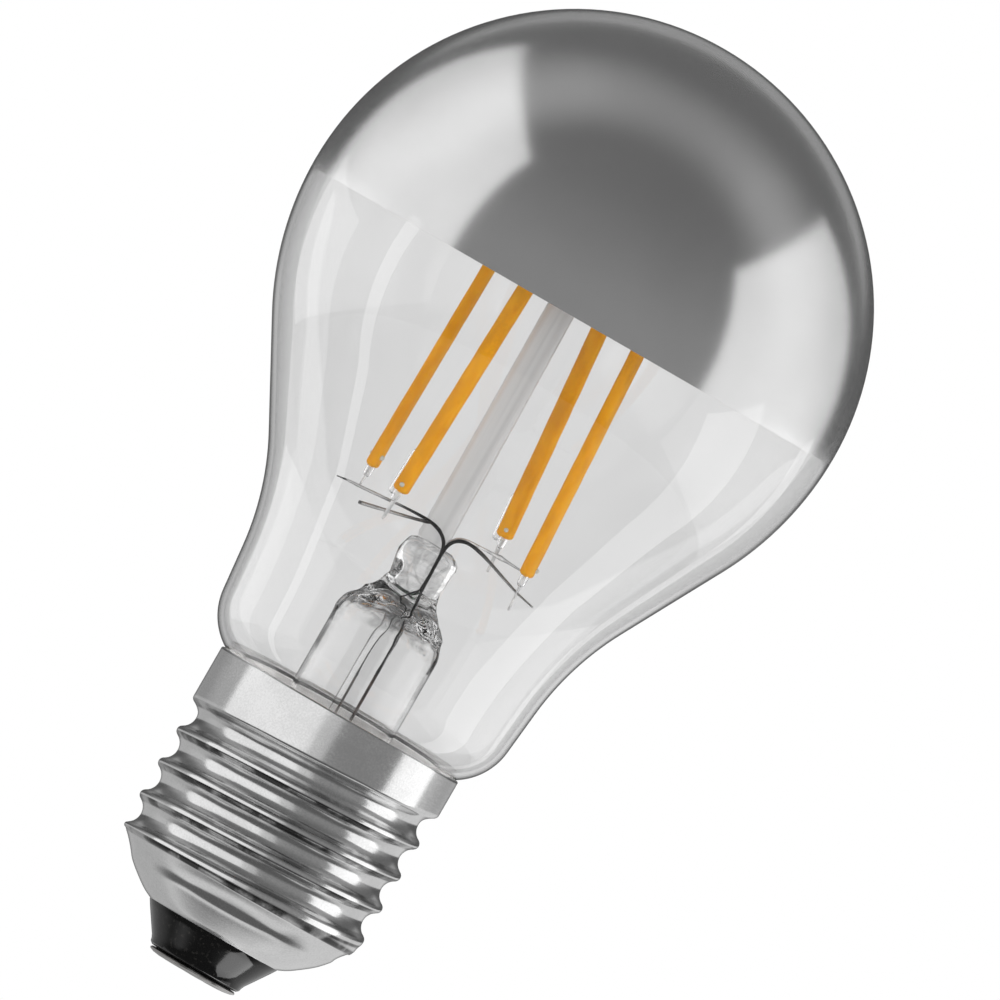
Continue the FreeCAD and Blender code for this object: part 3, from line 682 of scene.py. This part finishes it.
cap_out = cap_side(0)
cap_in = cap_side(SHEET)
lip = [(CREST - SHEET / 2, LIP_TOP)]
cap = turned("rolled_cap", cap_out + cap_in[::-1] + lip, cap_metal, 200, 60)
cap = apply_tree(cap, thread_tree(), Metal=cap_metal)
cap.data.polygons.foreach_set("use_smooth", [True] * len(cap.data.polygons))
print("cap radius", max(v.co.x for v in cap.data.vertices) / MM, "mm")
stands_for(cap, "cap_aluminium", "screw_sleeve")

# %% [markdown]
# ### The insulator and the contact
# Black glass fills the end of the cap. Below the cap it tapers to a short land whose lower corner
# is rounded by the mould, and the contact disc is pressed flat over it. Nothing poured or soldered
# is quite even, so a little noise moves the points of both.

# %% Insulator and contact
poured = [(1.24, 0.72), (4.2, 0.70), (4.75, 0.76), (5.02, 0.98), (5.1, 1.3), (5.25, 1.62)]
poured += straight((5.25, 1.62), (6.85, 4.0), 5) + [(7.2, 4.55), (7.25, 4.9)]
poured += [(7.9, 5.5), (9.0, 6.25), (10.2, 7.2), (11.0, 8.0), (11.6, 9.0), (11.7, 9.9)]
poured += [(9.2, 9.9), (8.6, 7.2), (1.24, 7.2)]


def poured_wave(point):
    """The hand-poured glass is never quite round."""
    swell = 1 + 0.008 * noise.noise(point * 0.25) * (1 if point.z < 4.3 else 0)
    return Vector((point.x * swell, point.y * swell, point.z))


vitrite = turned("vitrite", poured, black_glass, 128, 35, poured_wave)
stands_for(vitrite, "black_glass", "insulator")

disc = [(0, 0.02), (2.2, 0.0), (3.6, 0.05), (4.3, 0.16), (4.72, 0.36), (4.78, 0.52), (4.6, 0.66),
        (1.2, 0.66), (1.2, 7.6), (0.7, 7.6), (0.7, 0.45), (0, 0.45)]


def solder_wave(point):
    """A solder drop leaves the disc slightly uneven."""
    if point.z > 0.3:
        return point
    return point + Vector((0, 0, 0.05 + 0.05 * noise.noise(point * 0.6)))


contact = turned("contact_disc", disc, tinned, 96, 50, solder_wave)
stands_for(contact, "contact_metal", "centre_contact")

# %% [markdown]
# ## The glass stem
# The stem is one tube, flared at its foot, closed in the flame at its top and pinched over the
# wires. The flame leaves folds where the glass sagged. They could be sculpted, but noise on the
# points can be tuned and repeated. The bead above the pinch carries the post.

# %% Stem
STEM = 5.75
SHOULDER = 4.4
SHOULDER_FROM = 38.4
FLARE = (15.0, 29.0)  # centre of the curve that widens the stem's foot
stem_out = [(10.7, SEAL), (10.7, 20.8)] + arc(FLARE, 9.25, 242, 180, 10)[1:]
stem_out += straight(stem_out[-1], (STEM, SHOULDER_FROM), 12)
stem_out += arc((STEM - SHOULDER, SHOULDER_FROM), SHOULDER, 0, 48, 9)[1:]
stem_out += [(4.05, 42.0), (3.6, 42.55), (3.15, 43.1), (2.85, 43.7), (2.72, 44.3), (2.75, 44.9)]
stem_out += [(2.9, 45.6), (3.0, 46.3), (3.03, 47.0), (3.0, 47.6), (2.86, 48.1), (2.55, 48.5),
             (2.0, 48.8), (1.0, 48.9), (0, 48.9)]
stem_in = [(0, 41.4), (0.9, 41.5), (2.2, 41.35), (3.3, 41.0), (4.4, 40.3), (5.05, 39.4), (5.3, 38.2)]
stem_in += straight(stem_in[-1], (5.3, 29.0), 9)
stem_in += arc(FLARE, 9.7, 180, 240, 9)[1:] + [(10.1, SEAL)]


def flame_marks(point):
    """Folds of the glass at the shoulder and pinch, and a slight lean of the bead."""
    strength = max(0.0, min(1.0, (point.z - 38.0) / 3.5))
    strength *= max(0.0, min(1.0, (50.5 - point.z) / 3))
    radial = Vector((point.x, point.y, 0))
    seed = Vector((3.1, 7.7, 1.3))
    push = noise.noise(Vector((point.x * 0.42, point.y * 0.42, point.z * 0.8)) + seed)
    ripple = noise.noise(Vector((point.x * 0.8, point.y * 0.8, point.z * 1.1)) - seed)
    radial *= 1 + strength * (0.13 * push + 0.03 * ripple)
    lean = max(0.0, point.z - 42.0) * -0.05
    return Vector((radial.x + lean * strength, radial.y, point.z + strength * 0.12 * ripple))


stem = turned("stem_glass_tube", stem_out + stem_in, stem_glass, 128, 60, flame_marks)
stands_for(stem, "stem_glass", "stem_flare")

# %% [markdown]
# ### Exhaust tube and post
# Air is drawn out of the bulb through a thin tube, whose end is then melted to a round tip. The
# post is a drawn rod with a head that was swollen in the flame. Both are turned like the stem. A
# function stands the post on the bead with its slight lean, so its section can start at zero.

# %% Tube and post
TUBE = 1.3
TUBE_BORE = 1.18
TUBE_FOOT = 20.4
TUBE_HEAD = 41.1
tube = arc((0, TUBE_FOOT), TUBE, -90, 0, 6) + straight((TUBE, TUBE_FOOT), (TUBE, TUBE_HEAD), 8)
tube[0] = (0, tube[0][1])
tube += [(TUBE_BORE, TUBE_HEAD)] + straight((TUBE_BORE, TUBE_HEAD), (TUBE_BORE, TUBE_FOOT), 8)
tube += [(0.7, 19.6), (0, 19.3)]
exhaust = turned("exhaust_glass", tube, stem_glass, 48, 60)
stands_for(exhaust, "stem_glass", "exhaust_tube")

POST_LEAN = math.radians(0.9)
POST_FOOT = Vector((-0.67, 0, 48.93))
post_side = [(0, 0), (1.5, 0.0), (1.66, 0.5), (1.6, 1.4)] + straight((1.6, 1.4), (1.42, 38.5), 20)
post_side += [(1.5, 39.4), (1.9, 40.2), (2.1, 41.3), (2.05, 42.3), (1.7, 43.0), (1.0, 43.5), (0, 43.6)]


def post_place(point):
    """Stands the post on the bead, leaning a little to the left."""
    reach = point.z * math.sin(POST_LEAN)
    return POST_FOOT + Vector((point.x - reach, point.y, point.z * math.cos(POST_LEAN)))


post = turned("filament_post", post_side, drawn_glass, 64, 60, post_place)
stands_for(post, "stem_glass", "centre_post")

# %% [markdown]
# ## Wires
# A wire is a round section carried along a path. Curve to Mesh does exactly that, with the radius
# of every point of the path as a factor, so a weld bead is a point with a larger radius. The paths
# are smooth splines through the places where the photo shows each wire.

# %% The wire tree


def wire_tree():
    """Geometry Nodes: a round wire along a curve, closed at its ends."""
    graph, given = new_tree("drawn_wire", {"Radius": 0.35, "Step": 0.2, "Sides": 14})
    path = graph.add("GeometryNodeResampleCurve", {"mode": "LENGTH"}, {
        "Curve": given["Geometry"], "Length": given["Step"] * MM})
    ring = graph.add("GeometryNodeCurvePrimitiveCircle", None, {
        "Resolution": given["Sides"], "Radius": given["Radius"] * MM})
    thickness = graph.add("GeometryNodeInputRadius")
    drawn = graph.add("GeometryNodeCurveToMesh", None, {
        "Curve": path, "Profile Curve": ring, "Scale": thickness, "Fill Caps": True})
    smooth = graph.add("GeometryNodeSetShadeSmooth", None, {"Geometry": drawn})
    return close_tree(graph, smooth, given["Metal"])


WIRE_TREE = wire_tree()


def wire(name, path, radius, material):
    """A wire through control points (x, y, z, thickness factor) in millimetres."""
    curve = bpy.data.curves.new(name, "CURVE")
    curve.dimensions = "3D"
    spline = curve.splines.new("NURBS")
    spline.points.add(len(path) - 1)
    for point, corner in zip(spline.points, path):
        point.co = (*(Vector(corner[:3]) * MM), 1)
        point.radius = corner[3] if len(corner) > 3 else 1.0
    spline.order_u = 4
    spline.use_endpoint_u = True
    spline.resolution_u = 12
    piece = apply_tree(placed(name, curve), WIRE_TREE, Radius=radius, Metal=material)
    piece.name = name
    print(name, len(piece.data.polygons), "faces")
    return piece


# %% [markdown]
# ### Lead wires and arms
# Each lead comes up through the stem, leaves the glass at the bead and runs out to a filament. A
# welded arm takes the current on to the second filament of its side. The fourth number of a point
# is its thickness factor, for knots where wires were fused and for parts that were drawn thin.

# %% Leads and arms
left_lead = wire("left_lead", [
    (-0.62, 1.9, 33.3, 0.5), (-0.62, 1.9, 33.6, 1.3), (-0.64, 1.9, 34.0, 0.5), (-0.7, 1.9, 37.0, 0.4),
    (-0.3, 1.6, 41.5, 0.4), (0.4, 0.4, 43.6, 0.4), (0.78, -2.8, 46.2, 0.6), (0.74, -3.15, 48.2, 0.9),
    (0.6, -2.9, 49.3, 1.1), (-0.1, -2.6, 50.15), (-1.3, -2.6, 50.62), (-2.9, -2.3, 50.66, 0.9),
    (-5.0, -0.6, 50.55, 0.7), (-7.2, 1.6, 50.35, 0.7), (-9.4, 3.9, 50.15, 0.8), (-10.6, 5.1, 50.1, 0.9),
    (-11.2, 5.7, 50.05, 0.45), (-12.1, 6.5, 49.9, 0.35)], 0.18, dark_nickel)
stands_for(left_lead, "nickel", "lead_left")
right_lead = wire("right_lead", [
    (1.12, -1.9, 34.7, 0.6), (1.12, -1.9, 35.0, 1.3), (1.12, -1.9, 35.4, 0.6), (1.1, -1.9, 38.0, 0.5),
    (1.0, -2.3, 42.0, 0.6), (0.85, -3.0, 45.0, 0.9), (0.72, -3.15, 48.3, 1.1), (0.8, -2.9, 49.5, 1.1),
    (1.35, -2.5, 50.35), (2.5, -2.7, 50.72), (4.4, -3.0, 50.4), (6.4, -3.4, 49.7, 0.9),
    (8.6, -4.0, 48.95, 0.85), (9.4, -4.3, 48.7, 0.6), (11.1, -4.9, 48.35, 0.5)], 0.18, dark_nickel)
stands_for(right_lead, "nickel", "lead_right")
left_arm = wire("left_arm", [
    (-1.8, -2.55, 50.5, 0.8), (-3.4, -3.8, 50.1), (-5.3, -5.9, 49.62), (-6.9, -7.4, 49.27, 1.1),
    (-7.7, -8.1, 49.05, 1.25), (-8.75, -8.9, 48.83, 1.1)], 0.17, dark_nickel)
stands_for(left_arm, "nickel", "arm_left")
right_arm = wire("right_arm", [
    (0.75, -1.6, 49.6, 0.9), (1.2, 1.0, 50.7), (3.0, 5.0, 50.82), (5.7, 7.9, 50.88),
    (6.0, 8.2, 50.9, 2.6), (6.3, 8.5, 50.9), (8.3, 9.9, 50.8, 0.8)], 0.14, bright_nickel)
stands_for(right_arm, "nickel", "arm_right")

# %% [markdown]
# ### Copper tails
# Inside the stem each lead goes on as a thin copper wire, darkened by heat, down to the driver in
# the cap. Both are the same wire in two places, so a loop draws them.

# %% Copper tails
TAILS = {"left": (-0.62, 1.9, 33.4), "right": (1.12, -1.9, 34.8)}
for hand, (across, depth, knot) in TAILS.items():
    tail = wire(f"{hand}_tail", [(across, depth, 15.3), (across, depth, 22), (across + 0.1, depth, 28),
                                 (across, depth, knot)], 0.16, dark_copper)
    stands_for(tail, "copper", f"tail_{hand}")

# %% [markdown]
# ## Filaments
# Four upright strips lean in slightly towards the post's head. Each is a flat clear carrier coated
# with phosphor, with rounded ends and a metal tab at each end that the arms are welded to. A
# bevelled cube would look moulded, so the bars are built ring by ring, with noise to keep them
# uneven. The table gives each foot, its lean and its width.

# %% Filament places
PLACES = {
    "back_left": ((-9.64, 4.3, 52.3), (0.54, -0.7), 1.64),
    "front_left": ((-5.87, -7.8, 51.6), (1.22, 1.0), 1.8),
    "back_right": ((5.26, 8.0, 52.7), (-3.33, -1.4), 1.85),
    "front_right": ((8.97, -4.2, 50.55), (-2.07, 0.8), 2.0),
}
LENGTH = 37.0
STRIP_AROUND = 28
SQUARENESS = 2.6  # 2 is an ellipse, and more is squarer


def stance(name):
    """The foot of a filament, and its directions across, through and up."""
    foot, lean = PLACES[name][:2]
    foot = Vector(foot)
    up = Vector((*lean, math.sqrt(LENGTH**2 - lean[0]**2 - lean[1]**2))) / LENGTH
    through = Vector((foot.x, foot.y, 0)).normalized()
    across = up.cross(through).normalized()
    return foot, across, across.cross(up), up


def strip(label, name, material, half, span, tip, steps=60, shift=0.0, taper=1.0):
    """A rounded bar along the filament of that name, closed by rounded ends.

    half gives its half width and half depth, span where it starts and ends along the filament, tip
    the length of a rounded end and shift its place across; taper scales the width of its foot."""
    foot, across, through, up = stance(name)
    half_width, half_depth = half
    first, last = span
    turns = [math.pi / 2 * i / 7 for i in range(8)]
    start = [(first + tip * (1 - math.cos(turn)), math.sin(turn)) for turn in turns]
    middle = [(first + tip + (last - first - 2 * tip) * i / steps, 1.0) for i in range(1, steps)]
    end = [(last - at + first, share) for at, share in reversed(start)]
    points = []
    rings = []
    for at, share in start + middle + end:
        middle_point = foot + up * at + across * shift
        if share < ON_AXIS:
            rings.append([len(points)])
            points.append(middle_point)
            continue
        ring = []
        narrow = taper + (1 - taper) * (at - first) / (last - first)
        for k in range(STRIP_AROUND):
            angle = 2 * math.pi * k / STRIP_AROUND
            c, s = math.cos(angle), math.sin(angle)
            x = half_width * narrow * share * math.copysign(abs(c) ** (2 / SQUARENESS), c)
            y = half_depth * share * math.copysign(abs(s) ** (2 / SQUARENESS), s)
            lump = 1 + 0.035 * noise.noise(Vector((x * 0.8, y * 0.8, at * 0.6 + len(name))))
            ring.append(len(points))
            points.append(middle_point + across * (x * lump) + through * (y * lump))
        rings.append(ring)
    return mesh_piece(label, points, skin(rings, STRIP_AROUND), material, 60)


for name, (foot, lean, width) in PLACES.items():
    coat = strip(f"{name}_phosphor", name, phosphor, (width / 2, 0.62), (0.0, LENGTH), 0.45)
    stands_for(coat, "phosphor_coat", f"filament_{name}")
    print(coat.name, len(coat.data.polygons), "faces")

# %% [markdown]
# At both ends the carrier sticks out of the coat. It is a narrow pale strip, and clear silicone
# has crept along it, so each foot has a small glassy drop. On two of the filaments the silicone
# also shows as a light edge. Tabs, drops and edges are all short bars of the same kind. The table
# says how far down each lower tab reaches, to the arm that is welded to it.

# %% Ends of the filaments
DROPS = {"back_left": 2.2, "front_left": 3.1, "back_right": 3.6, "front_right": 3.7}
for name, drop in DROPS.items():
    for end, span, taper in (("foot", (-drop, 0.5), 0.5), ("head", (LENGTH - 0.5, LENGTH + 1.5), 1.0)):
        tab = strip(f"tab_{end}_{name}", name, tab_metal, (0.34, 0.1), span, 0.12, 12, 0.0, taper)
        stands_for(tab, "nickel", f"tabs_{name}")
    half_drop = (PLACES[name][2] / 4, 0.4)
    piece = strip(f"silicone_drop_{name}", name, clear_silicone, half_drop, (-1.1, 0.6), 0.5, 12,
                  -0.1, 0.6)
    stands_for(piece, "clear_glass")
for name, side in (("front_left", -1), ("back_right", 1)):
    piece = strip(f"silicone_edge_{name}", name, clear_silicone, (0.34, 0.42), (-0.5, 4.6), 0.6, 20,
                  0.8 * side, 1.25)
    stands_for(piece, "clear_glass")
print("tabs and drops at", len(DROPS), "filaments")

# %% [markdown]
# ### Light spots
# Near its foot each coat has one pale round spot, where the silicone is thin over a light source.
# A mask in the coat's colour would need numbers for each filament. A short bar that stands a little
# proud of the coat does the same and is moved by one number.

# %% Light spots on the coat
SPOTS = {"back_left": (0.05, 0.9, 0.4), "front_left": (0.25, 0.45, 0.33),
         "back_right": (-0.3, 0.6, 0.3), "front_right": (0.62, 0.7, 0.32)}
for name, (shift, height, size) in SPOTS.items():
    span = (height, height + 2 * size)
    spot = strip(f"light_spot_{name}", name, pale_chip, (size, 0.85), span, size * 0.9, 4, shift)
    stands_for(spot, "clear_glass")
print("light spots", len(SPOTS))

# %% [markdown]
# ## The hidden pieces
# The driver in the cap, the cement and the two top wires keep their CAD shapes and get real
# finishes, so that the part also looks right when it is taken apart.

# %% Finishes for the CAD nodes that stay
KEPT = {
    "basing_cement": cement_mix, "driver_board": board_green, "capacitor": can_sleeve,
    "choke": ferrite_grey, "rectifier": black_resin, "driver_chip": black_resin,
    "fuse_resistor": resistor_green, "live_wire": wire_red, "neutral_wire": copper_wire,
    "top_wire_1": dark_nickel, "top_wire_2": dark_nickel,
}
for name, material in KEPT.items():
    node = nodes[name]
    if not node.material_slots:
        node.data.materials.append(material)
    for slot in node.material_slots:
        slot.material = material
print("kept CAD nodes", len(KEPT))

# %% [markdown]
# ## Studio
# The photo shows the bulb tilted by 30 degrees against white, with a tall soft light on each side.
# The floor is a sheet of paper a little below the contact. A plain plane would hide the cap from
# below, so its underside is clear.

# %% Floor
FLOOR_RADIUS = 0.35
FLOOR_HEIGHT = -0.12
FLOOR_SIDES = 96
angles = [2 * math.pi * i / FLOOR_SIDES for i in range(FLOOR_SIDES)]
floor_rim = [(FLOOR_RADIUS * math.cos(a), FLOOR_RADIUS * math.sin(a), FLOOR_HEIGHT) for a in angles]
floor_mesh = bpy.data.meshes.new("floor")
floor_mesh.from_pydata(floor_rim, [], [list(range(FLOOR_SIDES))])
floor = placed("floor", floor_mesh)
floor.visible_glossy = False


def floor_maps(graph, place):
    speck = grain(graph, place, 90, 3.0)
    underside = graph.add("ShaderNodeNewGeometry", output="Backfacing")
    return {
        "Base Color": graph.blend(speck, grey(0.86), grey(0.90)),
        "Roughness": speck * 0.1 + 0.7,
        "Alpha": 1 - underside,
    }


floor_mesh.materials.append(finish("floor_paper", floor_maps))
print("floor", 2 * FLOOR_RADIUS, "m across")

# %% [markdown]
# ### The world
# The world is the room around the bulb, told by direction. A panorama picture could do the same,
# but sums can be tuned until the reflections agree with the photo. The room is dim in front, where
# the photographer stands. Behind, the mirror sees a pale wall and a dark ceiling.

# %% The room
world = bpy.data.worlds.new("studio")
bpy.context.scene.world = world
world.use_nodes = True
air = Graph(world.node_tree)
BELOW = 0.12
TABLE = 0.72
look = air.add("ShaderNodeTexCoord", output="Generated")
aside, behind, overhead = parts_of(air, look)


def fade_to(level, other, share):
    """One grey level that turns into another as the share goes from 0 to 1."""
    return level + (other - level) * share


front = air.smooth(overhead, 0.0, 0.95, 0.265, 0.16)
rear = air.smooth(behind, 0.35, 0.85, 0.36, 0.10)
# Overhead hangs a paler strip across the room, with a dark ceiling behind it and a paler wall.
ceiling = air.smooth(behind, 0.1, 0.55, 0.285, 0.145)
ceiling = ceiling + (aside * aside).math("MINIMUM", 0.22) * air.smooth(behind, 0.3, 0.65, 0.35, 0.0)
ceiling = ceiling + air.smooth(behind, 0.8, 0.88, 0.0, 0.23) * air.smooth(overhead, 0.15, 0.3)
rear = fade_to(rear, ceiling, air.smooth(overhead, 0.1, 0.35))
turn_back = air.smooth(behind, -0.35, air.smooth(overhead, 0.1, 0.35, 0.3, 0.04))
room = fade_to(fade_to(front, rear, turn_back), BELOW, air.smooth(overhead, -0.25, -0.6))
# The table right under the bulb is pale, with the dark foot of the holder behind its middle.
off_middle = behind - 0.3
foot_size = (aside * aside * 0.3 + off_middle * off_middle).math("SQRT")
table = air.smooth(foot_size, 0.15, 0.32, 0.02, TABLE)
straight_down = air.smooth(overhead, -0.72, -0.86) * air.smooth(behind, -0.33, -0.15)
room = fade_to(room, table, straight_down)
print("the room takes", len(world.node_tree.nodes), "nodes")

# %% [markdown]
# Behind the bulb hangs a white sheet, which lights up the clear glass. A lit plane would also be
# reflected everywhere, so the sheet is a second layer of the world, and Light Path tells who sees
# it. Rays through the glass see all of it, also when the bulb is looked at from behind. Reflected
# rays see its lower part, but hardly what is straight behind, which darkens the outline.

# %% The sheet
SHEET_LEVEL = 0.775
light_path = air.add("ShaderNodeLightPath")
camera_ray, through_glass, glossy_depth, diffuse_depth = air.beside(
    light_path, "Is Camera Ray", "Is Transmission Ray", "Glossy Depth", "Diffuse Depth")
unreflected = glossy_depth < 0.5
rim_share = air.smooth(aside, -0.1, 0.15, 0.55, 0.85)
plain_view = unreflected.math("MAXIMUM", air.smooth(overhead, 0.004, -0.02) * rim_share)
outline_share = unreflected.math("MAXIMUM", air.smooth(behind, 0.95, 0.985, 1.0, 0.15))
sheet_seen = air.smooth(behind, -0.1, 0.45) * plain_view * outline_share
sheet_seen = sheet_seen.math("MAXIMUM", unreflected * air.smooth(behind, -0.5, -0.85))
seen_from_behind = through_glass * unreflected * (diffuse_depth < 0.5)
seen_from_behind = seen_from_behind * air.smooth(behind, -0.05, -0.4)
sheet_seen = sheet_seen.math("MAXIMUM", seen_from_behind)
level = fade_to(room, SHEET_LEVEL, sheet_seen)
shade = air.add("ShaderNodeCombineXYZ", None, {"X": level, "Y": level, "Z": level})
shade = air.blend(camera_ray, shade, grey(1.0))
air.tree.links.new(shade.socket, air.find("BACKGROUND").inputs["Color"])
print("room and sheet take", len(world.node_tree.nodes), "nodes")

# %% [markdown]
# ### Soft lights
# Each white band on the glass is the reflection of a tall lamp, so its place tells in which
# direction that lamp stood, and the lamps are given by the directions that they fill. Bright patches
# of the world would do for reflections, but lamps light the matt pieces with less noise.

# %% A lamp told by directions


def hide_from(lamp, *rays):
    """Keeps a lamp out of sight of some kinds of ray."""
    for ray in rays:
        setattr(lamp, f"visible_{ray}", False)


def group_of(name, pieces):
    """A collection that lamps can be linked to, so that they light these pieces alone."""
    group = bpy.data.collections.new(name)
    for piece in pieces:
        group.objects.link(piece)
    return group


def soft_strip(name, first, last, low, high, level, lean=0, distance=0.8, centre=0.075):
    """A soft light that covers a range of directions, in degrees from the camera's side round to
    the right (or to the left when negative), between two elevations; lean swings its foot back."""
    middle = math.radians((first + last) / 2)
    half = math.radians(abs(last - first) / 2)
    width = 2 * distance * math.tan(half)
    foot = distance * math.tan(math.radians(low))
    head = distance * math.tan(math.radians(high))
    light = bpy.data.lights.new(name, "AREA")
    light.shape = "RECTANGLE"
    light.size = width
    light.size_y = head - foot
    light.energy = level * math.pi * width * (head - foot)
    lamp = placed(name, light)
    hide_from(lamp, "camera")
    away = Vector((math.sin(middle), -math.cos(middle), 0))
    turn = Matrix((Vector((0, 0, 1)).cross(away), (0, 0, 1), away)).transposed().to_4x4()
    roll = Matrix.Rotation(math.radians(lean if middle > 0 else -lean), 4, "Z")
    rise = Matrix.Translation((0, (foot + head) / 2, 0))
    place = Matrix.Translation(away * distance + Vector((0, 0, centre)))
    lamp.matrix_world = place @ turn @ roll @ rise
    return lamp


# %% [markdown]
# Each set of lamps is linked to the pieces that it is there for, as a photographer shades a lamp
# with flags. Narrow ones give the bands on the glass, wide dim ones light what is in it, and the
# cap and the insulator have lamps of their own.

# %% Lamps for each piece
GLASS_LIGHTS = [
    ("left_band", -98, -130, -60, -2, 0.85, 20),
    ("left_line", -69, -76, -60, 0, 1.8, 16),
    ("right_band", 65, 90, -60, -2, 1.6, 26),
    ("right_line", 123, 130, -60, 0, 0.85, 28),
]
CROWN_LIGHTS = [
    ("left_sheet", -54, -139, -28, 46, 0.71),
    ("right_sheet", 60, 137, -28, 46, 0.71),
]
CAP_LIGHTS = [
    ("cap_soft", 6, -9, -30, 25, 0.35),
    ("cap_left", -9, -60, -30, 25, 0.7),
    ("cap_left_far", -60, -97, -30, 25, 0.7),
    ("cap_right", 67, 108, -30, 25, 0.95),
]
FOOT_LIGHTS = [("foot_right", 62, 150, -80, -40, 3.0, 0, 0.3, 0.004)]
meshes = [piece for piece in bpy.context.scene.objects if piece.type == "MESH"]
cap_end = group_of("cap_end", [cap, vitrite, contact])
glass_end = group_of("glass_end", [piece for piece in meshes if piece.name not in cap_end.objects])
foot_end = group_of("foot_end", [vitrite])
for lights, group, hidden in ((GLASS_LIGHTS, glass_end, ["transmission"]),
                              (CROWN_LIGHTS, glass_end, ["glossy"]),
                              (CAP_LIGHTS, cap_end, []), (FOOT_LIGHTS, foot_end, [])):
    for numbers in lights:
        lamp = soft_strip(*numbers)
        lamp.light_linking.receiver_collection = group
        hide_from(lamp, *hidden)
fill = soft_strip("front_fill", -45, 45, -25, 25, 1.85)
hide_from(fill, "glossy", "transmission")

# %% [markdown]
# Down in the neck the cement is shaded by the collar. In the photo it is pale, so a small lamp
# inside the globe shines down on it alone, without shadows and unseen by every other ray.

# %% Light in the neck
neck = bpy.data.lights.new("neck_fill", "AREA")
neck.size = 0.02
neck.energy = 0.02
neck.use_shadow = False
neck_lamp = placed("neck_fill", neck)
neck_lamp.location = (0, 0, 55 * MM)
hide_from(neck_lamp, "camera", "glossy", "transmission")
neck_lamp.light_linking.receiver_collection = group_of("neck_end", [nodes["basing_cement"]])
print("lamps", len(bpy.data.lights))

# %% [markdown]
# ### Camera
# A long lens far away gives the flat perspective of a catalogue picture. The eye is level with the
# mirror's edge, which is then seen as a straight line, and the roll of 30 degrees tilts the bulb as
# in the photo. Turning the bulb itself would take it out of the CAD frame.

# %% Camera
CAMERA_AWAY = 4.5
FRAME_WIDTH = 0.09852
SENSOR = 36
TILT = math.radians(30)
target = Vector((0.00308, 0, 0.05576))
camera = bpy.data.cameras.new("camera")
camera.sensor_fit = "HORIZONTAL"
camera.sensor_width = SENSOR
camera.lens = SENSOR * CAMERA_AWAY / FRAME_WIDTH
camera.clip_end = 20
eye = placed("camera", camera)
eye_place = Vector((target.x, -CAMERA_AWAY, COAT_EDGE * MM))
ahead = (target - eye_place).normalized()
right = Vector((1, 0, 0))
untilted = Matrix((right, right.cross(ahead), -ahead)).transposed().to_4x4()
eye.matrix_world = Matrix.Translation(eye_place) @ untilted @ Matrix.Rotation(TILT, 4, "Z")
bpy.context.scene.camera = eye
print("lens", round(camera.lens), "mm")

# %% [markdown]
# ### Picture settings
# Standard keeps the white paper white, where other view transforms would turn it grey. A ray meets
# many faces of glass on its way, and too few bounces would leave black patches.

# %% Picture settings
scene = bpy.context.scene
scene.view_settings.view_transform = "Standard"
scene.cycles.use_denoising = True
scene.cycles.max_bounces = 24
scene.cycles.transmission_bounces = 20
scene.cycles.transparent_max_bounces = 24
scene.cycles.glossy_bounces = 8
scene.cycles.diffuse_bounces = 4
print("view transform", scene.view_settings.view_transform)
